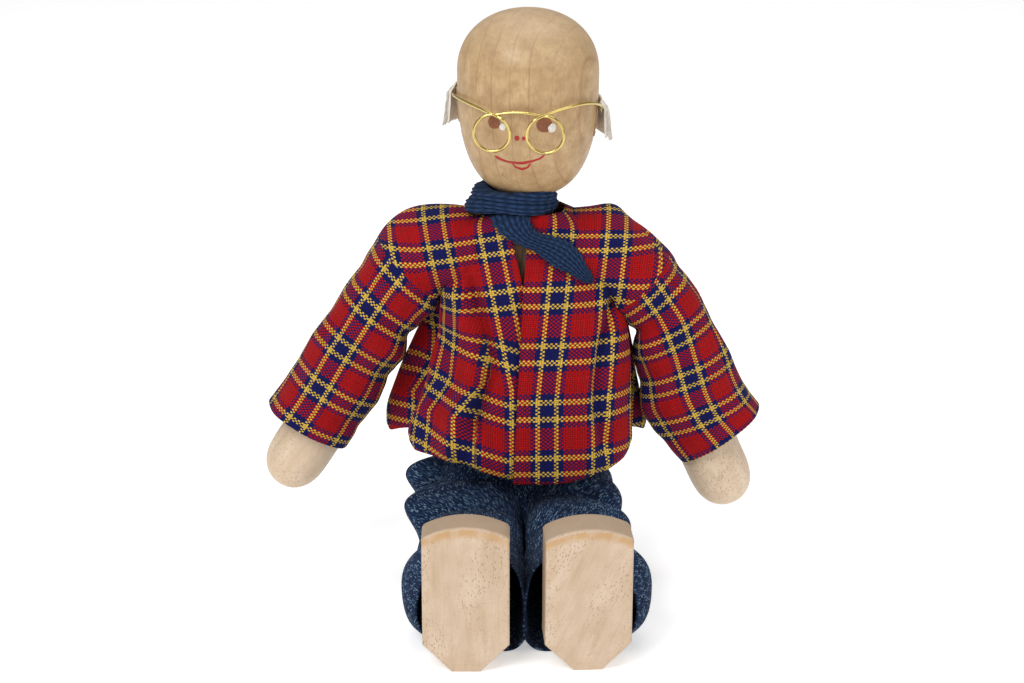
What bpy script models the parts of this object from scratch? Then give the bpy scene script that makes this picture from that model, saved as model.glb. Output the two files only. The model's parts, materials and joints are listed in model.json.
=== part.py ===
"""A bendy doll of wood, soft wire and cloth, sitting with its legs straight out.

The doll faces -Y and +Z is up. Its own right arm and leg are at -X. The floor
is z = 0, and the origin is the middle of the flat underside of the trousers.
Every length is in metres.
"""
import math

import bmesh
import bpy
import numpy as np
from mathutils import Matrix, Vector

# Fits that all pieces share
FIT = 0.0003
CUT_OVERRUN = 0.002

# Soft wire: one length between two bends has round ends
WIRE_RADIUS = 0.0008
BEND_SPACE = 0.0024
SOCKET_DEPTH = 0.0060

# Wooden torso
TORSO_WIDTH = 0.0202
TORSO_DEPTH = 0.0118
TORSO_BOTTOM = 0.0190
TORSO_TOP = 0.0656
TORSO_EDGE = 0.0034

# Neck and wooden head
NECK_SPACE = 0.0019
NOD_HEIGHT = TORSO_TOP + NECK_SPACE
NECK_ANCHOR_DEPTH = 0.0024
HEAD_RADIUS = 0.0124
HEAD_JAW_HEIGHT = 0.0220
HEAD_DOME_HEIGHT = 0.0109
CHIN_SPACE = 0.0029
CHIN_HEIGHT = NOD_HEIGHT + CHIN_SPACE
HEAD_SHIFT = 0.0006
HEAD_TURN_DEG = -8.6
HEAD_BORE_DEPTH = 0.0070

# Hair fringe and spectacles, on heights above the chin
HAIR_BOTTOM = {"right": 0.0123, "left": 0.0088}
HAIR_TOP = {"right": 0.0194, "left": 0.0176}
HAIR_THICKNESS = 0.0009
HAIR_FLARE = 0.0009
HAIR_END_DEG = 88.0
RIM_WIRE_RADIUS = 0.000275
RIM_RADIUS = 0.00316
RIM_SPACING = 0.0092
RIM_HEIGHT = 0.0139
RIM_STANDOFF = 0.0008
TEMPLE_SIDE_DEG = 94.0
TEMPLE_MIDDLE_HEIGHT = {"right": 0.0177, "left": 0.0188}
TEMPLE_END_HEIGHT = {"right": 0.0172, "left": 0.0156}

# Arms, with the angle of each length from straight down
SHOULDER_DROP = 0.0041
SHOULDER_HEIGHT = TORSO_TOP - SHOULDER_DROP
SHOULDER_SPACE = 0.0039
SHOULDER_REACH = TORSO_WIDTH / 2 + SHOULDER_SPACE
UPPER_ARM = 0.0200
FOREARM = 0.0170
ARM_SPREAD_DEG = {"right": 35.5, "left": 29.5}
FOREARM_SPREAD_DEG = {"right": 33.0, "left": 24.4}
ARM_WINDING_RADIUS = 0.0020
ARM_WINDING_STOP = 0.0042
HAND_LENGTH = 0.0180
HAND_RADIUS = 0.0055
HAND_TIP_RADIUS = 0.0047
HAND_TIP_LENGTH = 0.0042

# Legs and feet
HIP_HEIGHT = 0.0105
HIP_SPACING = 0.0150
HIP_FRONT = 0.0025
THIGH = 0.0180
SHIN = 0.0170
ANKLE_SPACING = 0.0198
LEG_WINDING_RADIUS = 0.0026
LEG_WINDING_STOP = 0.0048
ANKLE_TO_FOOT = 0.0025
FOOT_WIDTH = 0.0146
FOOT_LENGTH = 0.0255
FOOT_THICKNESS = 0.0080
FOOT_TOE_RISE = 0.0019
FOOT_HEEL_CORNER = 0.0049
FOOT_EDGE = 0.0004
FOOT_LEAN_DEG = {"right": 0.0, "left": 3.6}
FOOT_TOE_OUT_DEG = {"right": 0.0, "left": 4.0}

# Trousers
CLOTH = 0.0008
WAIST_HEIGHT = 0.0340
SEAT_WIDTH = 0.0395
SEAT_FRONT = 0.0105
SEAT_BACK = 0.0122
SEAT_WINDOW_HEIGHT = 0.0220
SEAT_WINDOW_FRONT = 0.0059
LEG_CLOTH_WIDTH = 0.0112
LEG_CLOTH_RISE = 0.0109
LEG_CLOTH_DROP = 0.0101

# Shirt
SHIRT_WIDTH = 0.0466
SHIRT_FRONT = 0.0165
SHIRT_BACK = 0.0135
SHIRT_RISE = 0.0020
SHIRT_TOP = TORSO_TOP + SHIRT_RISE
NECKLINE_DROP = 0.0034
HEM_FRONT = 0.0216
HEM_SIDE = 0.0280
HEM_BACK = 0.0252
FRONT_OVERLAP_DEG = 12.0
SLIT_LENGTH = 0.0112
SHIRT_FOLD = 0.0010
SHIRT_CREASE = 0.0024
SHIRT_FLAP = {"right": 0.0046, "left": 0.0020}
# Where the shirt's folds lie, in degrees from the front's middle. The flap has its start and
# its end, and each of the others its place and its reach.
FLAP_DEG = (84.0, 104.0)
CREASE_DEG = (84.0, 9.0)
RIGHT_RIDGE_DEG = (25.0, 8.0)
RIGHT_VALLEY_DEG = (11.0, 5.0)
LEFT_VALLEY_DEG = (47.0, 7.0)
ARMHOLE_SPACE = 0.0006
ARMHOLE_RISE = 0.0054
ARMHOLE_DROP = 0.0085
SLEEVE_WIDTH = 0.0160
SLEEVE_DEPTH = 0.0144
SLEEVE_BEYOND_ELBOW = 0.0244
SLEEVE_FOLD = 0.0005

# Scarf
SCARF_THICKNESS = 0.0018
SCARF_RADIUS = 0.0086
SCARF_FRONT_RADIUS = 0.0098
SCARF_CENTRE = -0.0008
SCARF_RISE = 0.0036
SCARF_SPACE = 0.0006
SCARF_CHEST_SPACE = 0.0001
SCARF_END_WIDTH = 0.0072
SCARF_END_THICKNESS = 0.0010
SCARF_END_TOP = (-0.0008, -0.0052)
SCARF_END_BEND = (0.0015, -0.0092)
SCARF_END_TIP = (0.0118, -0.0107)

SIDES = {"right": -1, "left": 1}
FRONT = Vector((0.0, -1.0, 0.0))
UP = Vector((0.0, 0.0, 1.0))

WOOD = ("maple", (0.66, 0.50, 0.34), 0.55, 0.0)
WIRE = ("soft_wire", (0.42, 0.41, 0.40), 0.45, 0.9)
GILT = ("gilt_wire", (0.80, 0.62, 0.25), 0.25, 1.0)
THREAD = ("thread", (0.62, 0.58, 0.50), 0.9, 0.0)
PLUSH = ("plush", (0.85, 0.83, 0.78), 0.95, 0.0)
TARTAN = ("tartan", (0.55, 0.07, 0.08), 0.9, 0.0)
DENIM = ("blue_knit", (0.05, 0.09, 0.20), 0.9, 0.0)
SCARF = ("scarf_knit", (0.04, 0.09, 0.20), 0.9, 0.0)


def clear_scene():
    for item in list(bpy.data.objects):
        bpy.data.objects.remove(item, do_unlink=True)


def material_for(name, finish):
    _, colour, roughness, metallic = finish
    material = bpy.data.materials.new(name)
    material.use_nodes = True
    shader = material.node_tree.nodes["Principled BSDF"]
    shader.inputs["Base Color"].default_value = (*colour, 1.0)
    shader.inputs["Roughness"].default_value = roughness
    shader.inputs["Metallic"].default_value = metallic
    return material


def add_object(name, verts, faces, origin, finish, smooth_deg=40.0):
    """An object at origin, whose closed mesh is given in world coordinates."""
    mesh = bpy.data.meshes.new(name)
    origin = Vector(origin)
    mesh.from_pydata([Vector(v) - origin for v in verts], [], faces)
    shape = bmesh.new()
    shape.from_mesh(mesh)
    bmesh.ops.recalc_face_normals(shape, faces=shape.faces)
    shape.to_mesh(mesh)
    shape.free()
    mesh.shade_smooth()
    mesh.set_sharp_from_angle(angle=math.radians(smooth_deg))
    mesh.materials.append(material_for(name, finish))
    item = bpy.data.objects.new(name, mesh)
    item.location = origin
    bpy.context.collection.objects.link(item)
    return item


def quads(rows, columns, wrap):
    """Faces of a grid of points, numbered row by row, closed round each row if wrap."""
    faces = []
    last = columns if wrap else columns - 1
    for i in range(rows - 1):
        for j in range(last):
            k = (j + 1) % columns
            faces.append((i * columns + j, i * columns + k,
                          (i + 1) * columns + k, (i + 1) * columns + j))
    return faces


def loft(name, rows, origin, finish):
    """A solid whose closed rows of points are joined in turn, capped at both ends."""
    rows = np.asarray(rows)
    count, columns, _ = rows.shape
    faces = quads(count, columns, True)
    faces.append(tuple(range(columns)))
    faces.append(tuple((count - 1) * columns + j for j in range(columns)))
    return add_object(name, rows.reshape(-1, 3), faces, origin, finish)


def shell(name, outer, inner, origin, finish, wrap=True, closed_end=False):
    """A wall between two grids of points, joined at its open edges or capped at its end."""
    count, columns, _ = outer.shape
    size = count * columns
    faces = quads(count, columns, wrap)
    faces += [tuple(size + k for k in reversed(face)) for face in quads(count, columns, wrap)]
    last = columns if wrap else columns - 1
    edges = [0] if closed_end else [0, count - 1]
    for i in edges:
        for j in range(last):
            a, b = i * columns + j, i * columns + (j + 1) % columns
            faces.append((a, b, size + b, size + a))
    if closed_end:
        end = [(count - 1) * columns + j for j in range(columns)]
        faces.append(tuple(end))
        faces.append(tuple(size + k for k in end))
    if not wrap:
        for j in (0, columns - 1):
            for i in range(count - 1):
                a, b = i * columns + j, (i + 1) * columns + j
                faces.append((a, b, size + b, size + a))
    verts = np.concatenate([outer.reshape(-1, 3), inner.reshape(-1, 3)])
    return add_object(name, verts, faces, origin, finish)


def across(along):
    """Two unit vectors square to a direction and to each other."""
    along = Vector(along).normalized()
    first = along.cross(FRONT)
    if first.length < 0.1:
        first = along.cross(UP)
    first.normalize()
    return first, along.cross(first).normalized()


def turned_rows(outline, origin, along, sides):
    """Rings of an outline of (radius, height) turned about a line from origin."""
    first, second = (np.array(v) for v in across(along))
    along = np.array(Vector(along).normalized())
    angle = np.linspace(0.0, math.tau, sides, endpoint=False)
    ring = np.outer(np.cos(angle), first) + np.outer(np.sin(angle), second)
    radii = np.array([r for r, _ in outline])
    heights = np.array([h for _, h in outline])
    centres = np.array(origin) + heights[:, None] * along
    return centres[:, None, :] + radii[:, None, None] * ring[None, :, :]


def turned(name, outline, origin, along, finish, sides=16):
    """A turned solid. Its outline may start at the floor of a bore and end at a tip."""
    return loft(name, turned_rows(outline, origin, along, sides), origin, finish)


def round_end(radius, height, steps, rising):
    """Outline points of a half ball on the line at a height, up to or from its tip."""
    angles = [math.pi / 2 * (k + 0.5) / steps for k in range(steps)]
    points = [(radius * math.cos(a), height + radius * math.sin(a)) for a in angles]
    if rising:
        return points
    return [(r, 2 * height - h) for r, h in reversed(points)]


def wire_length(name, origin, along, start, end, round_start, round_stop):
    """A straight length of wire from start to end, with round ends where it bends."""
    outline = []
    if round_start:
        outline += round_end(WIRE_RADIUS, start, 3, False)
    outline += [(WIRE_RADIUS, start), (WIRE_RADIUS, end)]
    if round_stop:
        outline += round_end(WIRE_RADIUS, end, 3, True)
    return turned(name, outline, origin, along, WIRE, sides=10)


def winding(name, origin, along, start, end, radius):
    """A tube of thread wound on a wire, with its ends drawn in a little."""
    bore = WIRE_RADIUS + FIT
    neck = (radius + bore) / 2
    taper = radius - neck
    outline = [(neck, start), (radius, start + taper), (radius, end - taper), (neck, end)]
    inner = [(bore, height) for _, height in outline]
    return shell(name, turned_rows(outline, origin, along, 14),
                 turned_rows(inner, origin, along, 14), origin, THREAD)


def cutter(name, mesh_item, target):
    """Hides a solid and cuts it out of the target."""
    mesh_item.name = name
    mesh_item.hide_render = True
    mesh_item.display_type = "WIRE"
    cut = target.modifiers.new(name, "BOOLEAN")
    cut.operation = "DIFFERENCE"
    cut.solver = "EXACT"
    cut.object = mesh_item


def cut_bore(name, origin, along, start, end, radius, target, sides=12):
    bore = turned(name, [(radius, start), (radius, end)], origin, along, WIRE, sides=sides)
    cutter(name, bore, target)


def cut_box(name, low, high, target):
    corners = [(x, y, z) for x in (low[0], high[0]) for y in (low[1], high[1])
               for z in (low[2], high[2])]
    faces = [(0, 1, 3, 2), (4, 6, 7, 5), (0, 4, 5, 1), (2, 3, 7, 6), (0, 2, 6, 4), (1, 5, 7, 3)]
    box = add_object(name, corners, faces, low, WIRE)
    cutter(name, box, target)


def smooth_step(x, low, high):
    t = np.clip((x - low) / (high - low), 0.0, 1.0)
    return t * t * (3.0 - 2.0 * t)


def shoulder_point(side):
    return Vector((SIDES[side] * SHOULDER_REACH, 0.0, SHOULDER_HEIGHT))


def down_and_out(side, spread_deg):
    """A direction in the doll's own plane, at an angle from straight down."""
    angle = math.radians(spread_deg)
    return Vector((SIDES[side] * math.sin(angle), 0.0, -math.cos(angle)))


def elbow_point(side):
    return shoulder_point(side) + UPPER_ARM * down_and_out(side, ARM_SPREAD_DEG[side])


def hip_point(side):
    return Vector((SIDES[side] * HIP_SPACING / 2, -HIP_FRONT, HIP_HEIGHT))


def ankle_height(side):
    """The ankle's height with the leaning foot's heel on the floor."""
    lean = math.radians(FOOT_LEAN_DEG[side])
    forward = ANKLE_TO_FOOT + FOOT_THICKNESS
    return HIP_HEIGHT * math.cos(lean) + forward * math.sin(lean)


def ankle_point(side):
    hip = hip_point(side)
    sideways = SIDES[side] * ANKLE_SPACING / 2 - hip.x
    rise = ankle_height(side) - hip.z
    forward = math.sqrt((THIGH + SHIN) ** 2 - sideways ** 2 - rise ** 2)
    return Vector((hip.x + sideways, hip.y - forward, hip.z + rise))


def leg_direction(side):
    return (ankle_point(side) - hip_point(side)).normalized()


def knee_point(side):
    return hip_point(side) + THIGH * leg_direction(side)


def make_torso():
    """The rounded block, bored for the arm, neck and hip wires."""
    half = Vector((TORSO_WIDTH / 2, TORSO_DEPTH / 2, (TORSO_TOP - TORSO_BOTTOM) / 2))
    middle = Vector((0.0, 0.0, (TORSO_TOP + TORSO_BOTTOM) / 2))
    corners = [middle + Vector((x * half.x, y * half.y, z * half.z))
               for x in (-1, 1) for y in (-1, 1) for z in (-1, 1)]
    faces = [(0, 1, 3, 2), (4, 6, 7, 5), (0, 4, 5, 1), (2, 3, 7, 6), (0, 2, 6, 4), (1, 5, 7, 3)]
    torso = add_object("torso_block", corners, faces, middle, WOOD)
    edge = torso.modifiers.new("edge", "BEVEL")
    edge.width = TORSO_EDGE
    edge.segments = 3
    bore = WIRE_RADIUS + FIT
    reach = TORSO_WIDTH / 2 + CUT_OVERRUN
    cross = (0.0, 0.0, SHOULDER_HEIGHT)
    cut_bore("cut_shoulder_bore", cross, (1, 0, 0), -reach, reach, bore, torso)
    floor = TORSO_TOP - NECK_ANCHOR_DEPTH - FIT
    cut_bore("cut_neck_bore", (HEAD_SHIFT, 0.0, floor), UP, 0.0,
             TORSO_TOP - floor + CUT_OVERRUN, bore, torso)
    for side in SIDES:
        hip = hip_point(side)
        start = TORSO_BOTTOM - HIP_HEIGHT - CUT_OVERRUN
        end = TORSO_BOTTOM - HIP_HEIGHT + SOCKET_DEPTH + FIT
        cut_bore("cut_hip_bore_" + side, hip, UP, start, end, bore, torso)


def make_torso_wires():
    """The arm wire's middle length and the neck wire's lower length."""
    inside = TORSO_WIDTH / 2 - SOCKET_DEPTH / 2
    wire_length("shoulder_cross_wire", (0.0, 0.0, SHOULDER_HEIGHT), (1, 0, 0),
                -inside, inside, False, False)
    base = TORSO_TOP - NECK_ANCHOR_DEPTH
    wire_length("neck_anchor_wire", (HEAD_SHIFT, 0.0, base), UP, 0.0,
                NOD_HEIGHT - base, False, True)


def head_frame():
    """Places a head drawn with its chin at zero, its face to -Y and its top up."""
    turn = Matrix.Rotation(math.radians(HEAD_TURN_DEG), 4, "Z")
    return Matrix.Translation((HEAD_SHIFT, 0.0, CHIN_HEIGHT)) @ turn


def in_head(points):
    frame = np.array(head_frame())
    points = np.asarray(points)
    return points @ frame[:3, :3].T + frame[:3, 3]


def head_radius_at(height):
    """The egg's radius: a full jaw below its widest ring and a squarish dome above."""
    height = np.asarray(height, dtype=float)
    jaw = np.clip((HEAD_JAW_HEIGHT - height) / HEAD_JAW_HEIGHT, 0.0, 1.0)
    dome = np.clip((height - HEAD_JAW_HEIGHT) / HEAD_DOME_HEIGHT, 0.0, 1.0)
    below = (1.0 - jaw ** 2.7) ** (1.0 / 2.7)
    above = (1.0 - dome ** 2.15) ** (1.0 / 2.15)
    return HEAD_RADIUS * np.where(height < HEAD_JAW_HEIGHT, below, above)


def make_neck():
    pivot = Vector((HEAD_SHIFT, 0.0, NOD_HEIGHT))
    end = CHIN_HEIGHT - NOD_HEIGHT + HEAD_BORE_DEPTH - FIT
    wire_length("neck_wire", pivot, UP, BEND_SPACE, end, True, False)


def make_head():
    """The turned egg, with the bore for the neck wire in its underside."""
    bore = WIRE_RADIUS + FIT
    steps = 9
    jaw = [HEAD_JAW_HEIGHT * (1.0 - math.cos(math.pi / 2 * k / steps)) for k in range(1, steps)]
    dome = [HEAD_DOME_HEIGHT * math.sin(math.pi / 2 * k / steps) for k in range(steps)]
    heights = jaw + [HEAD_JAW_HEIGHT + h for h in dome]
    outline = [(bore, HEAD_BORE_DEPTH), (bore, FIT)]
    outline += [(float(head_radius_at(h)), h) for h in heights]
    outline += [(bore / 2, HEAD_JAW_HEIGHT + HEAD_DOME_HEIGHT)]
    rows = turned_rows(outline, (0.0, 0.0, 0.0), UP, 28)
    loft("wooden_head", in_head(rows), head_frame().translation, WOOD)


def make_hair():
    """A band of plush from ear to ear round the back, flaring out to its lower edge."""
    columns, rows = 25, 5
    end = math.radians(HAIR_END_DEG)
    azimuth = np.linspace(end, math.tau - end, columns)
    drop = np.linspace(0.0, 1.0, rows)[:, None]
    leftward = (1.0 + np.sin(azimuth)[None, :]) / 2
    top = HAIR_TOP["right"] + (HAIR_TOP["left"] - HAIR_TOP["right"]) * leftward
    bottom = HAIR_BOTTOM["right"] + (HAIR_BOTTOM["left"] - HAIR_BOTTOM["right"]) * leftward
    height = top + (bottom - top) * drop
    tuck = math.radians(TEMPLE_SIDE_DEG) - end
    from_end = np.minimum(azimuth - end, math.tau - end - azimuth)
    lift = 1.0 - smooth_step(from_end, tuck, 4.0 * tuck)
    stand_off = FIT + (2.0 * RIM_WIRE_RADIUS + FIT) * lift[None, :]
    inner = head_radius_at(height) + stand_off + HAIR_FLARE * drop ** 2
    outer = inner + HAIR_THICKNESS * (1.0 + drop)

    def grid(radius):
        x = radius * np.sin(azimuth)[None, :]
        y = -radius * np.cos(azimuth)[None, :]
        return in_head(np.stack([x, y, height], axis=-1))

    shell("hair_fringe", grid(outer), grid(inner), head_frame().translation, PLUSH, wrap=False)


def spectacle_half(side):
    """From the bridge's middle, round one rim and along the temple, as (x, y, z)."""
    sign = SIDES[side]
    face = HEAD_RADIUS + RIM_STANDOFF
    centre = RIM_SPACING / 2
    crossing = math.radians(68.0)
    turns = np.linspace(math.pi - crossing, -math.pi - crossing + math.radians(46.0), 18)
    loop_x = centre + RIM_RADIUS * np.cos(turns)
    loop_z = RIM_HEIGHT + RIM_RADIUS * np.sin(turns)
    behind = np.linspace(0.0, 1.0, len(turns))
    loop_y = -face - 3.0 * RIM_WIRE_RADIUS * behind
    bridge_x = np.array([0.0, loop_x[0] / 2])
    arch = 1.0 - (bridge_x / loop_x[0]) ** 2
    bridge_z = loop_z[0] + 2.0 * RIM_WIRE_RADIUS * arch
    bridge_y = np.full(2, -face)
    share = np.linspace(0.0, 1.0, 9)[1:]
    start = math.atan2(loop_x[-1], -loop_y[-1])
    azimuth = start + (math.radians(TEMPLE_SIDE_DEG) - start) * share
    far = math.hypot(loop_x[-1], loop_y[-1])
    near = HEAD_RADIUS + FIT + RIM_WIRE_RADIUS
    radius = far + (near - far) * np.sqrt(share)
    middle, end = TEMPLE_MIDDLE_HEIGHT[side], TEMPLE_END_HEIGHT[side]
    bow = middle - (loop_z[-1] + end) / 2
    temple_z = loop_z[-1] + (end - loop_z[-1]) * share + 4.0 * bow * share * (1.0 - share)
    x = np.concatenate([bridge_x, loop_x, radius * np.sin(azimuth)])
    y = np.concatenate([bridge_y, loop_y, -radius * np.cos(azimuth)])
    z = np.concatenate([bridge_z, loop_z, temple_z])
    return np.stack([sign * x, y, z], axis=-1)


def make_spectacles():
    """One length of gilt wire, bent into two rims that it crosses, and two temples."""
    right, left = spectacle_half("right"), spectacle_half("left")
    path = in_head(np.concatenate([right[::-1], left[1:]]))
    curve = bpy.data.curves.new("spectacles", "CURVE")
    curve.dimensions = "3D"
    curve.bevel_depth = RIM_WIRE_RADIUS
    curve.bevel_resolution = 1
    curve.use_fill_caps = True
    origin = head_frame().translation
    spline = curve.splines.new("POLY")
    spline.points.add(len(path) - 1)
    for point, place in zip(spline.points, path):
        point.co = (*(Vector(place) - origin), 1.0)
    curve.materials.append(material_for("spectacles", GILT))
    item = bpy.data.objects.new("spectacles", curve)
    item.location = origin
    bpy.context.collection.objects.link(item)


def make_arm(side):
    shoulder, elbow = shoulder_point(side), elbow_point(side)
    along = down_and_out(side, ARM_SPREAD_DEG[side])
    beyond = down_and_out(side, FOREARM_SPREAD_DEG[side])
    outward = Vector((SIDES[side], 0.0, 0.0))
    inside = TORSO_WIDTH / 2 - SOCKET_DEPTH / 2 + FIT
    wire_length("shoulder_wire_" + side, shoulder, outward, inside - SHOULDER_REACH, 0.0,
                False, True)
    wire_length("upper_arm_wire_" + side, shoulder, along, BEND_SPACE, UPPER_ARM, True, True)
    winding("upper_arm_winding_" + side, shoulder, along, ARM_WINDING_STOP,
            UPPER_ARM - ARM_WINDING_STOP, ARM_WINDING_RADIUS)
    wire_length("forearm_wire_" + side, elbow, beyond, BEND_SPACE, FOREARM + SOCKET_DEPTH,
                True, False)
    winding("forearm_winding_" + side, elbow, beyond, ARM_WINDING_STOP, FOREARM - FIT,
            ARM_WINDING_RADIUS)
    make_hand(side, elbow, beyond)


def make_hand(side, elbow, beyond):
    """A turned peg that narrows to a rounded end, bored for the wire."""
    bore = WIRE_RADIUS + FIT
    floor = FOREARM + SOCKET_DEPTH + FIT
    round_start = FOREARM + HAND_LENGTH - HAND_TIP_LENGTH
    chamfer = HAND_RADIUS - HAND_TIP_RADIUS
    outline = [(bore, floor), (bore, FOREARM), (HAND_TIP_RADIUS, FOREARM),
               (HAND_RADIUS, FOREARM + chamfer), (HAND_RADIUS, FOREARM + HAND_LENGTH / 2),
               (HAND_TIP_RADIUS, round_start)]
    for k in (1, 2, 3, 4):
        a = math.pi / 2 * k / 5
        outline.append((HAND_TIP_RADIUS * math.cos(a), round_start + HAND_TIP_LENGTH * math.sin(a)))
    outline.append((WIRE_RADIUS, FOREARM + HAND_LENGTH))
    turned("wooden_hand_" + side, outline, elbow, beyond, WOOD, sides=20)


def sleeve_rows(top, bottom, depth, wave, columns=18):
    """Rings that span two guide lines, with a given half depth and shallow folds."""
    angle = np.linspace(0.0, math.tau, columns, endpoint=False)
    middle = (top + bottom) / 2
    reach = (top - bottom) / 2
    front = np.array(FRONT)
    span = np.linalg.norm(reach, axis=1)[:, None]
    unit = reach / span
    folds = wave[:, None] * np.cos(3.0 * angle[None, :] + 0.6)

    def rows(thinner):
        wide = (span - thinner + folds)[..., None] * np.cos(angle)[None, :, None]
        deep = (depth[:, None] - thinner + folds)[..., None] * np.sin(angle)[None, :, None]
        return middle[:, None, :] + wide * unit[:, None, :] + deep * front

    return rows(0.0), rows(CLOTH)


def sleeve_guides(side, origin, along, length, table_shares):
    """Outer and inner guide points: shares of the length and of the sleeve's width."""
    outward = Vector((SIDES[side], 0.0, 0.0))
    out = (outward - outward.dot(along) * along).normalized()
    origin, along, out = np.array(origin), np.array(along), np.array(out)
    shares = np.array(table_shares)
    top = origin + shares[:, 0:1] * length * along + shares[:, 1:2] * SLEEVE_WIDTH * out
    bottom = origin + shares[:, 2:3] * length * along - shares[:, 3:4] * SLEEVE_WIDTH * out
    return top, bottom


def outside_armhole(side, points):
    """Keeps points of the sleeve outside the armhole's plane."""
    reach = np.maximum(SIDES[side] * points[:, 0], SHOULDER_REACH + ARMHOLE_SPACE)
    return np.stack([SIDES[side] * reach, points[:, 1], points[:, 2]], axis=-1)


def armhole_guides(side):
    x = SIDES[side] * (SHOULDER_REACH + ARMHOLE_SPACE)
    top, bottom = SHOULDER_HEIGHT + ARMHOLE_RISE, SHOULDER_HEIGHT - ARMHOLE_DROP
    return np.array([[x, 0.0, top]]), np.array([[x, 0.0, bottom]])


def make_sleeve(side):
    """The sleeve's upper and lower halves, which meet at the elbow."""
    shoulder, elbow = shoulder_point(side), elbow_point(side)
    along = down_and_out(side, ARM_SPREAD_DEG[side])
    beyond = down_and_out(side, FOREARM_SPREAD_DEG[side])
    upper_shares = {
        "right": [(-0.09, 0.45, 0.40, 0.29), (0.05, 0.62, 0.48, 0.30), (0.22, 0.64, 0.58, 0.32),
                  (0.45, 0.63, 0.72, 0.35), (0.70, 0.62, 0.84, 0.36), (0.98, 0.60, 0.98, 0.38)],
        "left": [(-0.05, 0.39, 0.40, 0.29), (0.10, 0.50, 0.48, 0.30), (0.27, 0.56, 0.58, 0.32),
                 (0.47, 0.60, 0.72, 0.35), (0.70, 0.61, 0.84, 0.36), (0.98, 0.60, 0.98, 0.38)],
    }
    lower_shares = [(0.02, 0.60, 0.02, 0.38), (0.25, 0.59, 0.25, 0.40), (0.50, 0.60, 0.50, 0.41),
                    (0.75, 0.58, 0.75, 0.43), (1.00, 0.57, 1.00, 0.45)]
    top, bottom = sleeve_guides(side, shoulder, along, UPPER_ARM, upper_shares[side])
    first_top, first_bottom = armhole_guides(side)
    top = np.concatenate([first_top, top])
    bottom = np.concatenate([first_bottom, outside_armhole(side, bottom)])
    depth = np.full(len(top), SLEEVE_DEPTH / 2)
    wave = SLEEVE_FOLD * np.linspace(0.0, 1.0, len(top))
    outer, inner = sleeve_rows(top, bottom, depth, wave)
    shell("sleeve_upper_" + side, outer, inner, shoulder, TARTAN)
    top, bottom = sleeve_guides(side, elbow, beyond, SLEEVE_BEYOND_ELBOW, lower_shares)
    depth = np.full(len(top), SLEEVE_DEPTH / 2)
    wave = SLEEVE_FOLD * np.linspace(1.0, 0.0, len(top))
    outer, inner = sleeve_rows(top, bottom, depth, wave)
    shell("sleeve_lower_" + side, outer, inner, elbow, TARTAN)


def make_leg(side):
    hip, knee, ankle = hip_point(side), knee_point(side), ankle_point(side)
    along = leg_direction(side)
    into_torso = TORSO_BOTTOM - HIP_HEIGHT + SOCKET_DEPTH
    wire_length("hip_wire_" + side, hip, -UP, -into_torso, 0.0, False, True)
    wire_length("thigh_wire_" + side, hip, along, BEND_SPACE, THIGH, True, True)
    winding("thigh_winding_" + side, hip, along, LEG_WINDING_STOP, THIGH - LEG_WINDING_STOP,
            LEG_WINDING_RADIUS)
    wire_length("shin_wire_" + side, knee, along, BEND_SPACE, SHIN, True, True)
    winding("shin_winding_" + side, knee, along, LEG_WINDING_STOP, SHIN - ANKLE_TO_FOOT,
            LEG_WINDING_RADIUS)
    make_foot(side, ankle)


def foot_frame(side):
    """Places a foot drawn with its ankle at zero, its sole to -Y and its toe up."""
    ankle = Matrix.Translation(ankle_point(side))
    toe_out = SIDES[side] * math.radians(FOOT_TOE_OUT_DEG[side])
    lean = math.radians(FOOT_LEAN_DEG[side])
    return ankle @ Matrix.Rotation(toe_out, 4, "Z") @ Matrix.Rotation(lean, 4, "X")


def foot_outline():
    """The sole: a flat heel with clipped corners, straight sides and an arched toe."""
    half, heel = FOOT_WIDTH / 2, -HIP_HEIGHT
    shoulder = heel + FOOT_LENGTH - FOOT_TOE_RISE
    points = [(-half + FOOT_HEEL_CORNER, heel), (half - FOOT_HEEL_CORNER, heel),
              (half, heel + FOOT_HEEL_CORNER), (half, shoulder)]
    radius = (half ** 2 + FOOT_TOE_RISE ** 2) / (2 * FOOT_TOE_RISE)
    spread = math.asin(half / radius)
    centre = heel + FOOT_LENGTH - radius
    for k in range(1, 10):
        a = spread * (1.0 - 2.0 * k / 10)
        points.append((radius * math.sin(a), centre + radius * math.cos(a)))
    points += [(-half, shoulder), (-half, heel + FOOT_HEEL_CORNER)]
    return points


def make_foot(side, ankle):
    frame = foot_frame(side)
    outline = foot_outline()
    back, sole = -ANKLE_TO_FOOT, -ANKLE_TO_FOOT - FOOT_THICKNESS
    rows = [[frame @ Vector((x, y, z)) for x, z in outline] for y in (back, sole)]
    foot = loft("wooden_foot_" + side, rows, ankle, WOOD)
    edge = foot.modifiers.new("edge", "BEVEL")
    edge.width = FOOT_EDGE
    edge.segments = 2
    forward = (frame.to_3x3() @ FRONT).normalized()
    wire_end = ANKLE_TO_FOOT + SOCKET_DEPTH
    cut_bore("cut_foot_bore_" + side, ankle, forward, 0.0, wire_end + FIT,
             WIRE_RADIUS + FIT, foot)
    wire_length("ankle_wire_" + side, ankle, forward, BEND_SPACE, wire_end, True, False)


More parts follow.
